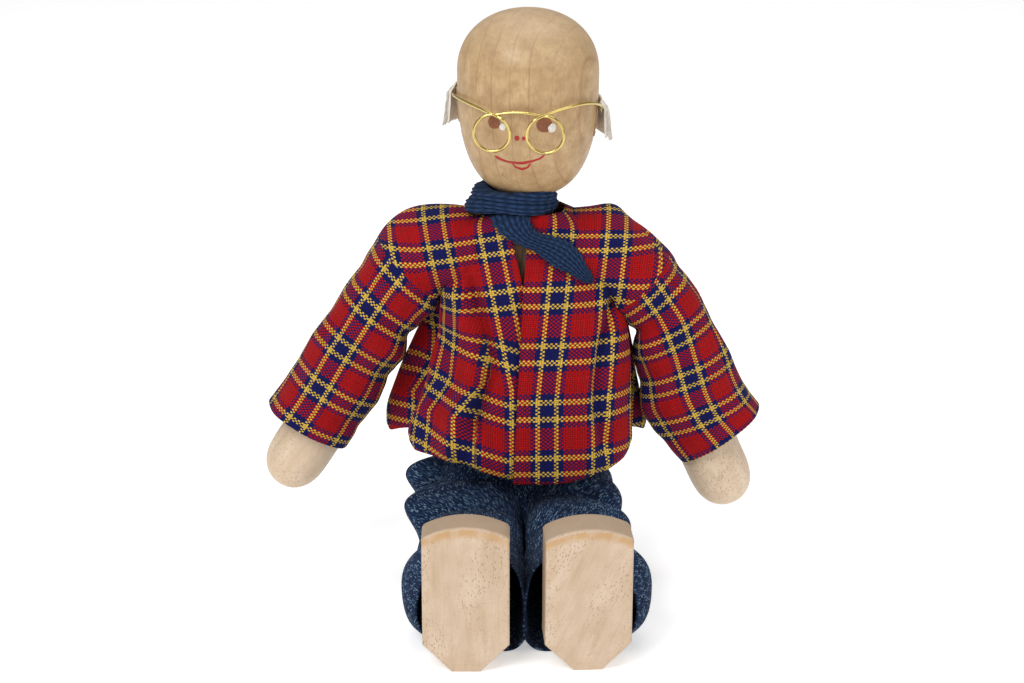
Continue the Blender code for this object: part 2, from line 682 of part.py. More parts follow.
def trouser_rows(side, start, end, shares, columns=20):
    """Rings along a leg. Each has half widths outward and up that swell into folds."""
    hip, along = np.array(hip_point(side)), np.array(leg_direction(side))
    angle = np.linspace(0.0, math.tau, columns, endpoint=False)
    station = start + (end - start) * np.array([row[0] for row in shares])
    out = LEG_CLOTH_WIDTH * np.array([row[1] for row in shares])
    rise = LEG_CLOTH_RISE * np.array([row[2] for row in shares])
    centre = hip[None, :] + station[:, None] * along[None, :]
    inward = SIDES[side] * centre[:, 0] - FIT
    drop = np.minimum(LEG_CLOTH_DROP, centre[:, 2] - FIT)
    cos, sin = np.cos(angle)[None, :], np.sin(angle)[None, :]
    lean = np.array([row[3] for row in shares])[:, None] * LEG_CLOTH_WIDTH

    def rows(thinner):
        sideways = np.where(cos > 0, out[:, None] - thinner, inward[:, None] - thinner) * cos
        height = np.where(sin > 0, rise[:, None] - thinner, drop[:, None] - thinner) * sin
        x = SIDES[side] * sideways
        y = lean * np.maximum(sin, 0.0)
        grid = np.stack([x, y, height], axis=-1)
        return centre[:, None, :] + grid

    return rows(0.0), rows(CLOTH)


def make_trouser_leg(side):
    """Two lengths of the trouser leg, with the ring folds that pile up on a seated leg."""
    start = SEAT_WINDOW_FRONT + FIT - HIP_FRONT
    thigh_shares = {
        "right": [(0.0, 1.12, 1.0, 0.0), (0.18, 0.95, 0.82, -0.04), (0.33, 1.11, 0.87, -0.08),
                  (0.50, 1.18, 0.88, -0.10), (0.72, 1.12, 0.78, -0.12), (1.0, 0.93, 0.60, -0.08)],
        "left": [(0.0, 1.04, 0.93, 0.0), (0.22, 1.09, 0.78, -0.05), (0.40, 0.94, 0.66, -0.08),
                 (0.55, 0.92, 0.62, -0.08), (0.76, 1.01, 0.67, -0.10), (1.0, 1.05, 0.66, -0.08)],
    }
    shin_shares = {
        "right": [(0.0, 0.92, 0.60, -0.08), (0.20, 0.83, 0.54, -0.05), (0.45, 0.83, 0.54, 0.0),
                  (0.65, 0.90, 0.61, 0.0), (0.85, 0.96, 0.67, 0.0), (1.0, 0.94, 0.68, 0.0)],
        "left": [(0.0, 1.05, 0.66, -0.08), (0.20, 0.96, 0.58, -0.05), (0.42, 0.88, 0.53, 0.0),
                 (0.62, 0.93, 0.61, 0.0), (0.85, 1.0, 0.69, 0.0), (1.0, 0.98, 0.70, 0.0)],
    }
    middle, cuff = THIGH, THIGH + SHIN - FIT
    outer, inner = trouser_rows(side, start, middle - FIT / 2, thigh_shares[side])
    shell("trouser_thigh_" + side, outer, inner, hip_point(side), DENIM)
    outer, inner = trouser_rows(side, middle + FIT / 2, cuff, shin_shares[side])
    shell("trouser_shin_" + side, outer, inner, knee_point(side), DENIM)


def squarish_ring(azimuth, width, front, back, power):
    """Points round the body at azimuths from the front, on a squared-off oval."""
    s, c = np.sin(azimuth), np.cos(azimuth)
    x = width * np.sign(s) * np.abs(s) ** (2.0 / power)
    depth = np.where(c > 0, front, back)
    y = -depth * np.sign(c) * np.abs(c) ** (2.0 / power)
    return x, y


def make_seat():
    """The seat of the trousers: a bag from the waist to a flat underside."""
    seat_shares = [(1.0, 0.64, 0.78, 0.68), (0.82, 0.72, 0.86, 0.78), (0.64, 0.94, 0.97, 0.95),
                   (0.42, 1.0, 1.0, 1.0), (0.20, 0.95, 0.95, 0.95), (0.06, 0.85, 0.86, 0.86),
                   (0.0, 0.76, 0.76, 0.76)]
    columns = 32
    azimuth = np.linspace(0.0, math.tau, columns, endpoint=False)

    def grid(thinner, lift):
        rows = []
        for height, width, front, back in seat_shares:
            x, y = squarish_ring(azimuth, SEAT_WIDTH / 2 * width - thinner,
                                 SEAT_FRONT * front - thinner, SEAT_BACK * back - thinner, 2.6)
            z = max(WAIST_HEIGHT * height, lift)
            rows.append(np.stack([x, y, np.full(columns, z)], axis=-1))
        return np.array(rows)

    inner = grid(CLOTH, CLOTH)
    inner[-2, :, 2] = CLOTH + (WAIST_HEIGHT * seat_shares[-2][0])
    seat = shell("trousers_seat", grid(0.0, 0.0), inner, (0.0, 0.0, 0.0), DENIM,
                 closed_end=True)
    reach = SEAT_WIDTH / 2 + CUT_OVERRUN
    cut_box("cut_leg_window", (-reach, -SEAT_FRONT - CUT_OVERRUN, -CUT_OVERRUN),
            (reach, -SEAT_WINDOW_FRONT, SEAT_WINDOW_HEIGHT), seat)


def hem_height(azimuth):
    """Lowest in front, highest at the sides."""
    side = np.sin(azimuth) ** 2
    end = np.where(np.cos(azimuth) > 0, HEM_FRONT, HEM_BACK)
    return end + (HEM_SIDE - end) * side


def shirt_top(azimuth):
    """The neckline, which dips in front."""
    return SHIRT_TOP - NECKLINE_DROP * ((1.0 + np.cos(azimuth)) / 2) ** 4


def shirt_folds(azimuth, height):
    """The slack of the shirt: a crease at each side, a flap behind it and folds in front.

    The azimuth runs from the front over the left side, and the height is a share.
    """
    turn = np.degrees(np.arccos(np.cos(azimuth)))
    flap = np.where(np.sin(azimuth) < 0, SHIRT_FLAP["right"], SHIRT_FLAP["left"])
    flap = flap * smooth_step(turn, *FLAP_DEG) * (1.0 - smooth_step(height, 0.12, 0.55))
    slack = 1.0 - smooth_step(height, 0.30, 0.75)

    def fold(angle, place_deg, reach_deg):
        return slack * np.exp(-((angle - place_deg) / reach_deg) ** 2)

    right_front = np.degrees(math.tau - azimuth)
    left_front = np.degrees(azimuth)
    front = (fold(right_front, *RIGHT_RIDGE_DEG) - fold(right_front, *RIGHT_VALLEY_DEG)
             - fold(left_front, *LEFT_VALLEY_DEG))
    # The flap fades toward the back's middle, where both sides meet.
    return (flap * np.sin(azimuth) ** 2 - SHIRT_CREASE * fold(turn, *CREASE_DEG)
            + SHIRT_FOLD * front)


def make_shirt_body():
    """The shirt's body, open down the front, where one edge laps over the other."""
    shirt_shares = [(0.0, 0.85, 1.0, 1.0), (0.10, 0.86, 0.97, 0.98), (0.22, 0.84, 0.90, 0.93),
                    (0.35, 0.78, 0.81, 0.86), (0.48, 0.68, 0.73, 0.78), (0.60, 0.60, 0.64, 0.72),
                    (0.74, 0.585, 0.56, 0.67), (0.87, 0.58, 0.51, 0.64), (0.95, 0.55, 0.49, 0.60),
                    (0.985, 0.42, 0.48, 0.53), (1.0, 0.30, 0.47, 0.46)]
    columns = 49
    slit_bottom = SHIRT_TOP - SLIT_LENGTH
    overlap = math.radians(FRONT_OVERLAP_DEG)
    share = np.linspace(0.0, 1.0, columns)

    def grid(thinner):
        rows = []
        for height, width, front, back in shirt_shares:
            z_mean = HEM_FRONT + height * (SHIRT_TOP - HEM_FRONT)
            gape = smooth_step(z_mean, slit_bottom, SHIRT_TOP) * overlap
            lap = overlap * (1.0 - smooth_step(z_mean, slit_bottom - CUT_OVERRUN, SHIRT_TOP))
            first = -overlap / 3 + gape
            last = math.tau - overlap / 3 - gape + lap
            azimuth = first + (last - first) * share
            under = smooth_step(azimuth, math.tau - 3.0 * overlap, math.tau - overlap)
            inset = thinner + (CLOTH + FIT) * under
            folds = shirt_folds(azimuth, height) * (1.0 - under)
            x, y = squarish_ring(azimuth, SHIRT_WIDTH / 2 * width - inset + folds,
                                 SHIRT_FRONT * front - inset + folds,
                                 SHIRT_BACK * back - inset + folds, 2.6)
            hem = hem_height(azimuth)
            z = hem + height * (shirt_top(azimuth) - hem)
            closing = smooth_step(height, 0.9, 0.97) * (1.0 - np.cos(azimuth)) / 2
            z = z - thinner * closing
            rows.append(np.stack([x, y, z], axis=-1))
        return np.array(rows)

    shirt = shell("shirt_body", grid(0.0), grid(CLOTH), (0.0, 0.0, SHIRT_TOP), TARTAN,
                  wrap=False)
    middle = SHOULDER_HEIGHT + (ARMHOLE_RISE - ARMHOLE_DROP) / 2
    radius = (ARMHOLE_RISE + ARMHOLE_DROP) / 2 - 1.5 * CLOTH
    for side in SIDES:
        along = Vector((SIDES[side], 0.0, 0.0))
        start = TORSO_WIDTH / 2 + FIT
        end = SHOULDER_REACH + CUT_OVERRUN
        cut_bore("cut_armhole_" + side, (0.0, 0.0, middle), along, start, end, radius, shirt,
                 sides=20)


def make_scarf():
    """A knitted tape wound round the neck, which comes lower on the chest."""
    columns, rows = 24, 10
    around = np.linspace(0.0, math.tau, columns, endpoint=False)[:, None]
    section = np.linspace(0.0, math.tau, rows, endpoint=False)[None, :]
    chest = ((1.0 + np.cos(around)) / 2) ** 4
    scarf_top = SHIRT_TOP + SCARF_RISE
    low = SHIRT_TOP + SCARF_SPACE + (SCARF_CHEST_SPACE - SCARF_SPACE - NECKLINE_DROP) * chest
    half = (scarf_top - low) / 2
    slack = SCARF_THICKNESS / 6 * np.cos(3.0 * around + 1.0)
    radius = SCARF_RADIUS + (SCARF_FRONT_RADIUS - SCARF_RADIUS) * chest
    radius = radius + slack * (1.0 - chest) + SCARF_THICKNESS / 2 * np.cos(section)
    x = SCARF_CENTRE + radius * np.sin(around)
    y = -radius * np.cos(around)
    z = (scarf_top + low) / 2 + half * np.sin(section)
    grid = np.stack([x, y, z], axis=-1)
    faces = quads(columns, rows, True)
    last = (columns - 1) * rows
    for j in range(rows):
        k = (j + 1) % rows
        faces.append((last + j, last + k, k, j))
    add_object("scarf_wrap", grid.reshape(-1, 3), faces, (SCARF_CENTRE, 0.0, scarf_top), SCARF)


def make_scarf_end():
    """The tape's free end, which bends across the chest and narrows to a point."""
    share = np.linspace(0.0, 1.0, 8)[:, None]
    width_shares = np.array([0.92, 0.96, 1.0, 1.0, 0.94, 0.80, 0.52, 0.10])[:, None]
    across_share = np.linspace(-1.0, 1.0, 5)[None, :]
    top, bend, tip = (np.array(p) for p in (SCARF_END_TOP, SCARF_END_BEND, SCARF_END_TIP))
    centre = (1.0 - share) ** 2 * top + 2.0 * share * (1.0 - share) * bend + share ** 2 * tip
    run = 2.0 * (1.0 - share) * (bend - top) + 2.0 * share * (tip - bend)
    run = run / np.linalg.norm(run, axis=1)[:, None]
    reach = SCARF_END_WIDTH / 2 * width_shares * across_share
    x = centre[:, 0:1] - reach * run[:, 1:2]
    z = SHIRT_TOP + centre[:, 1:2] + reach * run[:, 0:1]
    rise = (z - HEM_FRONT) / (SHIRT_TOP - NECKLINE_DROP - HEM_FRONT)
    table_shares = np.array([(0.60, 0.64), (0.74, 0.56), (0.87, 0.51), (0.95, 0.49)])
    front = SHIRT_FRONT * np.interp(rise, table_shares[:, 0], table_shares[:, 1])
    seat = front + 2.0 * FIT
    inner = np.stack([x, -seat, z], axis=-1)
    outer = np.stack([x, -seat - SCARF_END_THICKNESS, z], axis=-1)
    shell("scarf_end", outer, inner, (0.0, -SHIRT_FRONT, SHIRT_TOP), SCARF, wrap=False)


clear_scene()
make_torso()
make_torso_wires()
make_neck()
make_head()
make_hair()
make_spectacles()
make_seat()
make_shirt_body()
make_scarf()
make_scarf_end()
for doll_side in SIDES:
    make_arm(doll_side)
    make_sleeve(doll_side)
    make_leg(doll_side)
    make_trouser_leg(doll_side)
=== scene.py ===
"""Looks for the bendy doll: turned maple, a tartan shirt, knitted trousers and scarf.

Every place is in metres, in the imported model's own frame. The doll faces -Y, and
its own right side is at -X. Each section makes one piece and its material.
"""
import json
import math

import bpy
import numpy as np
from mathutils import Matrix, Vector


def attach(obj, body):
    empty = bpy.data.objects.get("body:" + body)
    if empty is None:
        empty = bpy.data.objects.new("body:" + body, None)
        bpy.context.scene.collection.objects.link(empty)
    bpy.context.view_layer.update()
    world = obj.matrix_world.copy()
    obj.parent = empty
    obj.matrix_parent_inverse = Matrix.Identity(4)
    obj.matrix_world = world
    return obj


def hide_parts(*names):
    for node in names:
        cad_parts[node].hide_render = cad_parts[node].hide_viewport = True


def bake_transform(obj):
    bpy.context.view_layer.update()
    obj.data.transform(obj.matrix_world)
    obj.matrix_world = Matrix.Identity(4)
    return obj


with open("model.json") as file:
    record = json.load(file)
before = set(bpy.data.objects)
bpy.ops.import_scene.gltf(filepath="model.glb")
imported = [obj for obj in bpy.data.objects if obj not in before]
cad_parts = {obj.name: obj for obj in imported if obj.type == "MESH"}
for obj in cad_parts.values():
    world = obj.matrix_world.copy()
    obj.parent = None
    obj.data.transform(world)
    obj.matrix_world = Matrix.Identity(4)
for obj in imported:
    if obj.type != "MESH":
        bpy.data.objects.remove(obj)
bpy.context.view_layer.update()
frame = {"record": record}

# Camera and light
# The camera looks down 18 degrees at the doll from the front, as in the photograph.
# Large soft lamps light it from above and the front, in a pale room.
CAMERA_PLACE, CAMERA_TARGET = (-0.0022, -0.4565, 0.191), (-0.0022, 0.0, 0.0428)


def link(name, data, place=(0.0, 0.0, 0.0), aim=None):
    """Puts a new object in the scene, at a place and turned to look at an aim."""
    item = bpy.data.objects.new(name, data)
    item.location = place
    if aim:
        item.rotation_euler = (Vector(aim) - Vector(place)).to_track_quat("-Z", "Y").to_euler()
    bpy.context.scene.collection.objects.link(item)
    return item


camera_data = bpy.data.cameras.new("camera")
camera_data.lens = 93.8
camera_data.sensor_width = 36.0
camera_data.clip_start = 0.01
bpy.context.scene.camera = link("camera", camera_data, CAMERA_PLACE, CAMERA_TARGET)
bpy.context.scene.view_settings.view_transform = "Standard"

for name, place, size, watts in (("key_lamp", (-0.30, -0.45, 0.55), 0.35, 2.9),
                                 ("fill_lamp", (0.45, -0.40, 0.35), 0.45, 1.0),
                                 ("top_lamp", (0.05, 0.15, 0.70), 0.50, 1.7)):
    lamp = bpy.data.lights.new(name, "AREA")
    lamp.size = size
    lamp.energy = watts
    link(name, lamp, place, (0.0, 0.0, 0.04))

world = bpy.data.worlds.new("studio")
world.use_nodes = True
world.node_tree.nodes["Background"].inputs["Color"].default_value = (1.0, 1.0, 1.0, 1.0)
world.node_tree.nodes["Background"].inputs["Strength"].default_value = 0.34
bpy.context.scene.world = world


# Floor
# A wide plain sheet under the doll, of the photograph's plain pale background. A little
# light of its own keeps it white where the lamps' light falls off.
class Value:
    """A node's output, which plain arithmetic combines with numbers and other outputs."""

    def __init__(self, tree, socket):
        self.tree = tree
        self.socket = socket

    def calculate(self, operation, *values):
        node = self.tree.node("ShaderNodeMath", dict(enumerate(values)))
        node.operation = operation
        return Value(self.tree, node.outputs[0])

    def __add__(self, other):
        return self.calculate("ADD", self, other)

    def __sub__(self, other):
        return self.calculate("SUBTRACT", self, other)

    def __rsub__(self, other):
        return self.calculate("SUBTRACT", other, self)

    def __mul__(self, other):
        return self.calculate("MULTIPLY", self, other)

    def __truediv__(self, other):
        return self.calculate("DIVIDE", self, other)

    def __pow__(self, other):
        return self.calculate("POWER", self, other)

    def __abs__(self):
        return self.calculate("ABSOLUTE", self)

    def below(self, limit):
        return self.calculate("LESS_THAN", self, limit)

    def of(self, operation):
        return self.calculate(operation, self)

    __radd__, __rmul__ = __add__, __mul__


class Tree:
    """One material's node tree. Each method adds a node and returns its output."""

    def __init__(self, name):
        self.material = bpy.data.materials.new(name)
        self.material.use_nodes = True
        self.nodes = self.material.node_tree.nodes
        self.shader = self.nodes["Principled BSDF"]

    def feed(self, node, inputs):
        """Gives a node's inputs, by name or number, their values or links."""
        for key, value in inputs.items():
            socket = node.inputs[key]
            if isinstance(value, Value):
                self.material.node_tree.links.new(value.socket, socket)
            elif socket.type == "RGBA":
                socket.default_value = (*value, 1.0)
            else:
                socket.default_value = value

    def node(self, kind, inputs):
        node = self.nodes.new(kind)
        self.feed(node, inputs)
        return node

    def mix(self, share, first, second, blend="MIX"):
        node = self.nodes.new("ShaderNodeMix")
        node.data_type = "RGBA"
        node.blend_type = blend
        self.feed(node, {"Factor": share, "A": first, "B": second})
        return Value(self, node.outputs["Result"])

    def place(self, kind="Object"):
        return Value(self, self.nodes.new("ShaderNodeTexCoord").outputs[kind])

    def split(self, vector):
        node = self.node("ShaderNodeSeparateXYZ", {0: vector})
        return [Value(self, output) for output in node.outputs]

    def join(self, x, y):
        return Value(self, self.node("ShaderNodeCombineXYZ", {0: x, 1: y}).outputs[0])

    def stretch(self, vector, scale=(1.0, 1.0, 1.0), turn=(0.0, 0.0, 0.0), shift=(0.0, 0.0, 0.0)):
        node = self.node("ShaderNodeMapping", {"Vector": vector, "Scale": scale,
                                               "Rotation": turn, "Location": shift})
        return Value(self, node.outputs[0])

    def noise(self, vector, scale, detail=3.0, roughness=0.5):
        node = self.node("ShaderNodeTexNoise", {"Vector": vector, "Scale": scale,
                                                "Detail": detail, "Roughness": roughness})
        return Value(self, node.outputs["Fac"])

    def cells(self, vector, scale):
        node = self.node("ShaderNodeTexVoronoi", {"Vector": vector, "Scale": scale})
        return Value(self, node.outputs["Distance"]), Value(self, node.outputs["Color"])

    def random(self, vector):
        return Value(self, self.node("ShaderNodeTexWhiteNoise", {"Vector": vector}).outputs["Value"])

    def ramp(self, value, stops, steps=False):
        node = self.node("ShaderNodeValToRGB", {0: value})
        node.color_ramp.interpolation = "CONSTANT" if steps else "LINEAR"
        elements = node.color_ramp.elements
        while len(elements) < len(stops):
            elements.new(0.5)
        for element, (position, colour) in zip(elements, stops):
            element.position = position
            element.color = (*colour, 1.0)
        return Value(self, node.outputs["Color"])

    def span(self, value, low, high, to_low=0.0, to_high=1.0):
        node = self.node("ShaderNodeMapRange", dict(enumerate((value, low, high, to_low, to_high))))
        node.interpolation_type = "SMOOTHSTEP"
        return Value(self, node.outputs[0])

    def bump(self, height, strength, distance):
        node = self.node("ShaderNodeBump", {"Height": height, "Strength": strength,
                                            "Distance": distance})
        self.feed(self.shader, {"Normal": Value(self, node.outputs[0])})

    def surface(self, colour, roughness, metallic=0.0, sheen=0.0, coat=0.0, specular=0.5):
        self.feed(self.shader, {"Base Color": colour, "Roughness": roughness,
                                "Metallic": metallic, "Sheen Weight": sheen,
                                "Coat Weight": coat, "Specular IOR Level": specular})
        return self.material


tree = Tree("floor")
grain = tree.noise(tree.place(), 40.0)
bpy.ops.mesh.primitive_plane_add(size=6.0, location=(0.0, 1.5, 0.0))
floor = bpy.context.object
floor.name = "floor"
floor.data.materials.append(
    tree.surface(tree.mix(grain, (0.93, 0.93, 0.93), (0.95, 0.95, 0.95)), 0.9))
tree.feed(tree.shader, {"Emission Color": (1.0, 1.0, 1.0), "Emission Strength": 0.42})


# Wooden head
# A ball turned of pale maple with a drawn-in chin, on its wire. The grain runs upward
# on the face and leans to the doll's left over the crown, with a knot at the chin.
HEAD_RADIUS, JAW_HEIGHT, DOME_HEIGHT = 0.0124, 0.0220, 0.0109
HEAD_PLACING = (Matrix.Translation((0.0006, 0.0, 0.0704))
                @ Matrix.Rotation(math.radians(-8.6), 4, "Z"))
PALE, AMBER, WARM = (0.54, 0.370, 0.190), (0.46, 0.295, 0.138), (0.37, 0.225, 0.100)


def full_turn(count):
    return np.linspace(0.0, math.tau, count, endpoint=False)


def points_of(*axes):
    """Points from their coordinates, which may be arrays of different shapes."""
    return np.stack(np.broadcast_arrays(*axes), axis=-1)


def points_round(radius, azimuth, height):
    """Points at a radius, an azimuth from the front toward the doll's left and a height."""
    return points_of(radius * np.sin(azimuth), -radius * np.cos(azimuth), height)


def to_frame(points, placing):
    """Turns points from a piece's own axes into the frame, by the piece's matrix."""
    placing = np.array(placing)
    return points @ placing[:3, :3].T + placing[:3, 3]


def own_axes(tree, placing):
    """The material's place in the axes of a piece that a matrix puts into the frame."""
    back = placing.inverted()
    return tree.stretch(tree.place(), turn=back.to_euler("XYZ"), shift=back.translation)


def grid_quads(rows, columns, wrap):
    """The quads of a grid, each as its four corner numbers, row by row."""
    i, j = np.meshgrid(np.arange(rows - 1), np.arange(columns - 1 + wrap), indexing="ij")
    k = (j + 1) % columns
    corners = [i * columns + j, i * columns + k, (i + 1) * columns + k, (i + 1) * columns + j]
    return np.stack(corners, axis=-1).reshape(-1, 4)


def ring_faces(rows, columns):
    """The faces of closed rings, row by row, with a cap on the first and the last."""
    first = list(range(columns))
    last = [(rows - 1) * columns + i for i in first]
    return grid_quads(rows, columns, 1).tolist() + [first[::-1], last]


def make_mesh(name, points, faces, finish, uv=None):
    """An object at the origin from points, faces and each corner's place in the cloth."""
    mesh = bpy.data.meshes.new(name)
    mesh.from_pydata(np.reshape(points, (-1, 3)).tolist(), [], [list(face) for face in faces])
    if uv is not None:
        layer = mesh.uv_layers.new(name="cloth")
        layer.data.foreach_set("uv", np.asarray(uv, dtype=np.float32).ravel())
    mesh.shade_smooth()
    mesh.materials.append(finish)
    return link(name, mesh)


def head_radius_at(height):
    """The turned outline: a full jaw below the widest height and a dome above it."""
    jaw = np.clip((JAW_HEIGHT - height) / JAW_HEIGHT, 0.0, 1.0)
    dome = np.clip((height - JAW_HEIGHT) / DOME_HEIGHT, 0.0, 1.0)
    below = (1.0 - jaw ** 2.7) ** (1.0 / 2.7)
    above = (1.0 - dome ** 2.15) ** (1.0 / 2.15)
    return HEAD_RADIUS * np.where(height < JAW_HEIGHT, below, above)


tree = Tree("head_maple")
local = own_axes(tree, HEAD_PLACING)
x, y, z = tree.split(local)
sway = tree.noise(tree.stretch(local, (1.0, 1.0, 0.35)), 130.0, 2.0)
across_grain = x - (y + 0.012) * 0.27 + sway * 0.0022
year = (across_grain / 0.0034).of("FRACT")
strength = tree.noise(tree.stretch(local, (1.0, 1.0, 0.5)), 260.0, 2.0)
late_wood = (tree.span(year, 0.84, 0.97) * tree.span(year, 0.97, 1.0, 1.0, 0.0)
             * tree.span(strength, 0.30, 0.62, 0.08, 0.50))
fleck = tree.noise(tree.stretch(local, (1.0, 1.0, 0.22)), 3600.0, 3.0, 0.6)
mottle = tree.noise(local, 420.0, 4.0, 0.6)
wood = tree.ramp(mottle, [(0.30, WARM), (0.50, AMBER), (0.70, PALE)])
wood = tree.mix(tree.span(fleck, 0.46, 0.70, 0.0, 0.38), wood, (0.30, 0.16, 0.065))
wood = tree.mix(late_wood, wood, (0.27, 0.125, 0.048))
wood = tree.mix(tree.span(z, 0.022, 0.033, 0.0, 0.35), wood, (0.56, 0.43, 0.29))
knot_away = ((x + 0.0030) ** 2.0 + ((z - 0.0056) * 0.8) ** 2.0).of("SQRT")
knot = tree.span(knot_away + mottle * 0.0006, 0.00030, 0.00055, 0.70, 0.0)
wood = tree.mix(knot * y.below(0.0), wood, (0.19, 0.085, 0.035))
tree.bump(fleck - late_wood, 0.25, 0.00006)
head_finish = tree.surface(wood, tree.span(fleck, 0.3, 0.7, 0.46, 0.60), coat=0.12)

polar = np.linspace(0.0, math.pi, 141)[:, None]
half_height = np.where(polar < math.pi / 2, DOME_HEIGHT, JAW_HEIGHT)
height = np.clip(JAW_HEIGHT + half_height * np.cos(polar), 0.0, JAW_HEIGHT + DOME_HEIGHT)
head_grid = points_round(np.maximum(head_radius_at(height), 0.00004), full_turn(160), height)
head = make_mesh("turned_head", to_frame(head_grid, HEAD_PLACING),
                 [face[::-1] for face in ring_faces(141, 160)], head_finish)
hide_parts("wooden_head")
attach(head, "head")


# Painted face
# Each mark is a thin layer of paint on the head, drawn in the front view and laid back
# on the wood: two round eyes with a glint, two small dots for a nose, and a red line
# for the mouth with the loop of the lower lip. Heights are above the chin.
PAINT_RISE = 0.00007


def smooth_line(stations, values, at):
    """A soft curve through values at stations: linear between them, then averaged."""
    fine = np.linspace(stations[0], stations[-1], 400)
    drawn = np.interp(fine, stations, values)
    reach = 18
    padded = np.concatenate([np.full(reach, drawn[0]), drawn, np.full(reach, drawn[-1])])
    weight = np.hanning(2 * reach + 1)
    soft = np.convolve(padded, weight / weight.sum(), mode="valid")
    soft[0], soft[-1] = drawn[0], drawn[-1]
    return np.interp(at, fine, soft)


def run_length(points, axis=0):
    """The length along lines of points, from 0 at each line's start."""
    step = np.linalg.norm(np.diff(points, axis=axis), axis=-1)
    return np.concatenate([np.zeros_like(step.take([0], axis)), np.cumsum(step, axis)], axis)


def directions(x, z):
    """The unit direction at each point of a line in the front view."""
    run = points_of(np.gradient(x), np.gradient(z))
    return run / np.linalg.norm(run, axis=1, keepdims=True)


def paint(name, colour):
    """Satin paint that lets a little of the wood's unevenness through."""
    tree = Tree(name)
    patch = tree.noise(tree.place(), 2600.0, 3.0, 0.6)
    deep = [0.72 * part for part in colour]
    tree.bump(patch, 0.3, 0.00004)
    return tree.surface(tree.mix(tree.span(patch, 0.35, 0.7), deep, colour), 0.42, coat=0.2)


def paint_mark(name, x, z, shares, rise, faces, finish):
    """Paint laid on the head, which thins out at its rim, where its shares reach 1."""
    reach = head_radius_at(z) + rise * np.sqrt(1.0 - shares ** 2 * 0.999) - 0.00002 * shares ** 8
    points = points_of(x, -np.sqrt(np.maximum(reach ** 2 - x ** 2, 0.0)), z)
    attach(make_mesh(name, to_frame(points, HEAD_PLACING), faces, finish), "head")


def paint_dot(name, x, z, half_width, half_height, finish, rise=PAINT_RISE):
    """A dab of paint: an uneven oval."""
    shares = np.linspace(0.02, 1.0, 9)[:, None]
    turns = full_turn(40)
    rough = 1.0 + 0.03 * np.sin(3.0 * turns + x * 900.0) + 0.02 * np.sin(5.0 * turns)
    paint_mark(name, x + half_width * shares * rough * np.cos(turns),
               z + half_height * shares * rough * np.sin(turns), shares, rise,
               ring_faces(9, 40)[:-1], finish)


def paint_line(name, stations, widths, finish):
    """A brushed line through stations (x, height), with its half width at each."""
    stations = np.array(stations)
    along = run_length(stations)
    at = np.linspace(0.0, along[-1], 70)
    x, z, half = [smooth_line(along, values, at) for values in (*stations.T, widths)]
    run = directions(x, z)
    shares = np.linspace(-1.0, 1.0, 7)
    ends = np.sqrt(np.clip(1.0 - (2.0 * at / at[-1] - 1.0) ** 16, 0.02, 1.0))[:, None]
    offset = half[:, None] * ends * shares
    paint_mark(name, x[:, None] - run[:, 1:] * offset, z[:, None] + run[:, :1] * offset, shares,
               PAINT_RISE * ends, grid_quads(70, 7, 0), finish)


eye_paint = paint("eye_brown", (0.25, 0.060, 0.002))
glint_paint = paint("glint_white", (0.86, 0.82, 0.74))
mouth_paint = paint("mouth_red", (0.43, 0.004, 0.001))
paint_dot("eye_right", -0.00421, 0.01527, 0.00118, 0.00122, eye_paint)
paint_dot("eye_left", 0.00449, 0.01511, 0.00138, 0.00142, eye_paint)
paint_dot("glint_right", -0.00270, 0.01463, 0.00058, 0.00066, glint_paint, 0.00010)
paint_dot("glint_left", 0.00566, 0.01449, 0.00072, 0.00082, glint_paint, 0.00010)
paint_dot("nose_right", -0.00016, 0.01276, 0.00047, 0.00050, mouth_paint)
paint_dot("nose_left", 0.00099, 0.01276, 0.00036, 0.00038, mouth_paint)
paint_line("mouth", [(-0.00428, 0.00911), (-0.0031, 0.0086), (-0.00179, 0.00825),
                     (0.00056, 0.00815), (0.00253, 0.00862), (0.0036, 0.0090),
                     (0.00448, 0.00963)],
           [0.00034, 0.00026, 0.00022, 0.00030, 0.00022, 0.00020, 0.00026], mouth_paint)
paint_line("lower_lip", [(-0.00113, 0.00800), (-0.0006, 0.00735), (0.00050, 0.00700),
                         (0.0015, 0.00735), (0.00202, 0.00815)],
           [0.00018, 0.00020, 0.00026, 0.00020, 0.00018], mouth_paint)


# Plush fringe
# A strip of white plush glued round the back of the head. A backing carries fine fibres
# that hang almost straight, and both of its front corners stand off the head.
HAIR_START, HAIR_END = math.radians(88.0), math.radians(272.0)
# The strip's edges are lower on the doll's left: the height on the right, then the left.
HAIR_TOP, HAIR_BOTTOM = (0.0194, 0.0171), (0.0123, 0.0106)
WIRE_RADIUS, CAD_GAP = 0.000275, 0.0003
FIBRES = 6500


def step_up(x, low, high):
    """Rises softly from 0 at low to 1 at high."""
    t = np.clip((x - low) / (high - low), 0.0, 1.0)
    return t * t * (3.0 - 2.0 * t)


def grid_uv(uv):
    """The four corners' places in the cloth, for each quad of a grid of such places."""
    corners = [uv[:-1, :-1], uv[:-1, 1:], uv[1:, 1:], uv[1:, :-1]]
    return np.stack(corners, axis=2).reshape(-1, 2)


def grid_normals(grid, wrap):
    """Each point's unit normal, from the differences to its neighbours in the grid."""
    side = np.gradient(grid, axis=1)
    if wrap:
        side = np.roll(grid, -1, axis=1) - np.roll(grid, 1, axis=1)
    normal = np.cross(side, np.gradient(grid, axis=0))
    return normal / np.maximum(np.linalg.norm(normal, axis=2, keepdims=True), 1e-12)


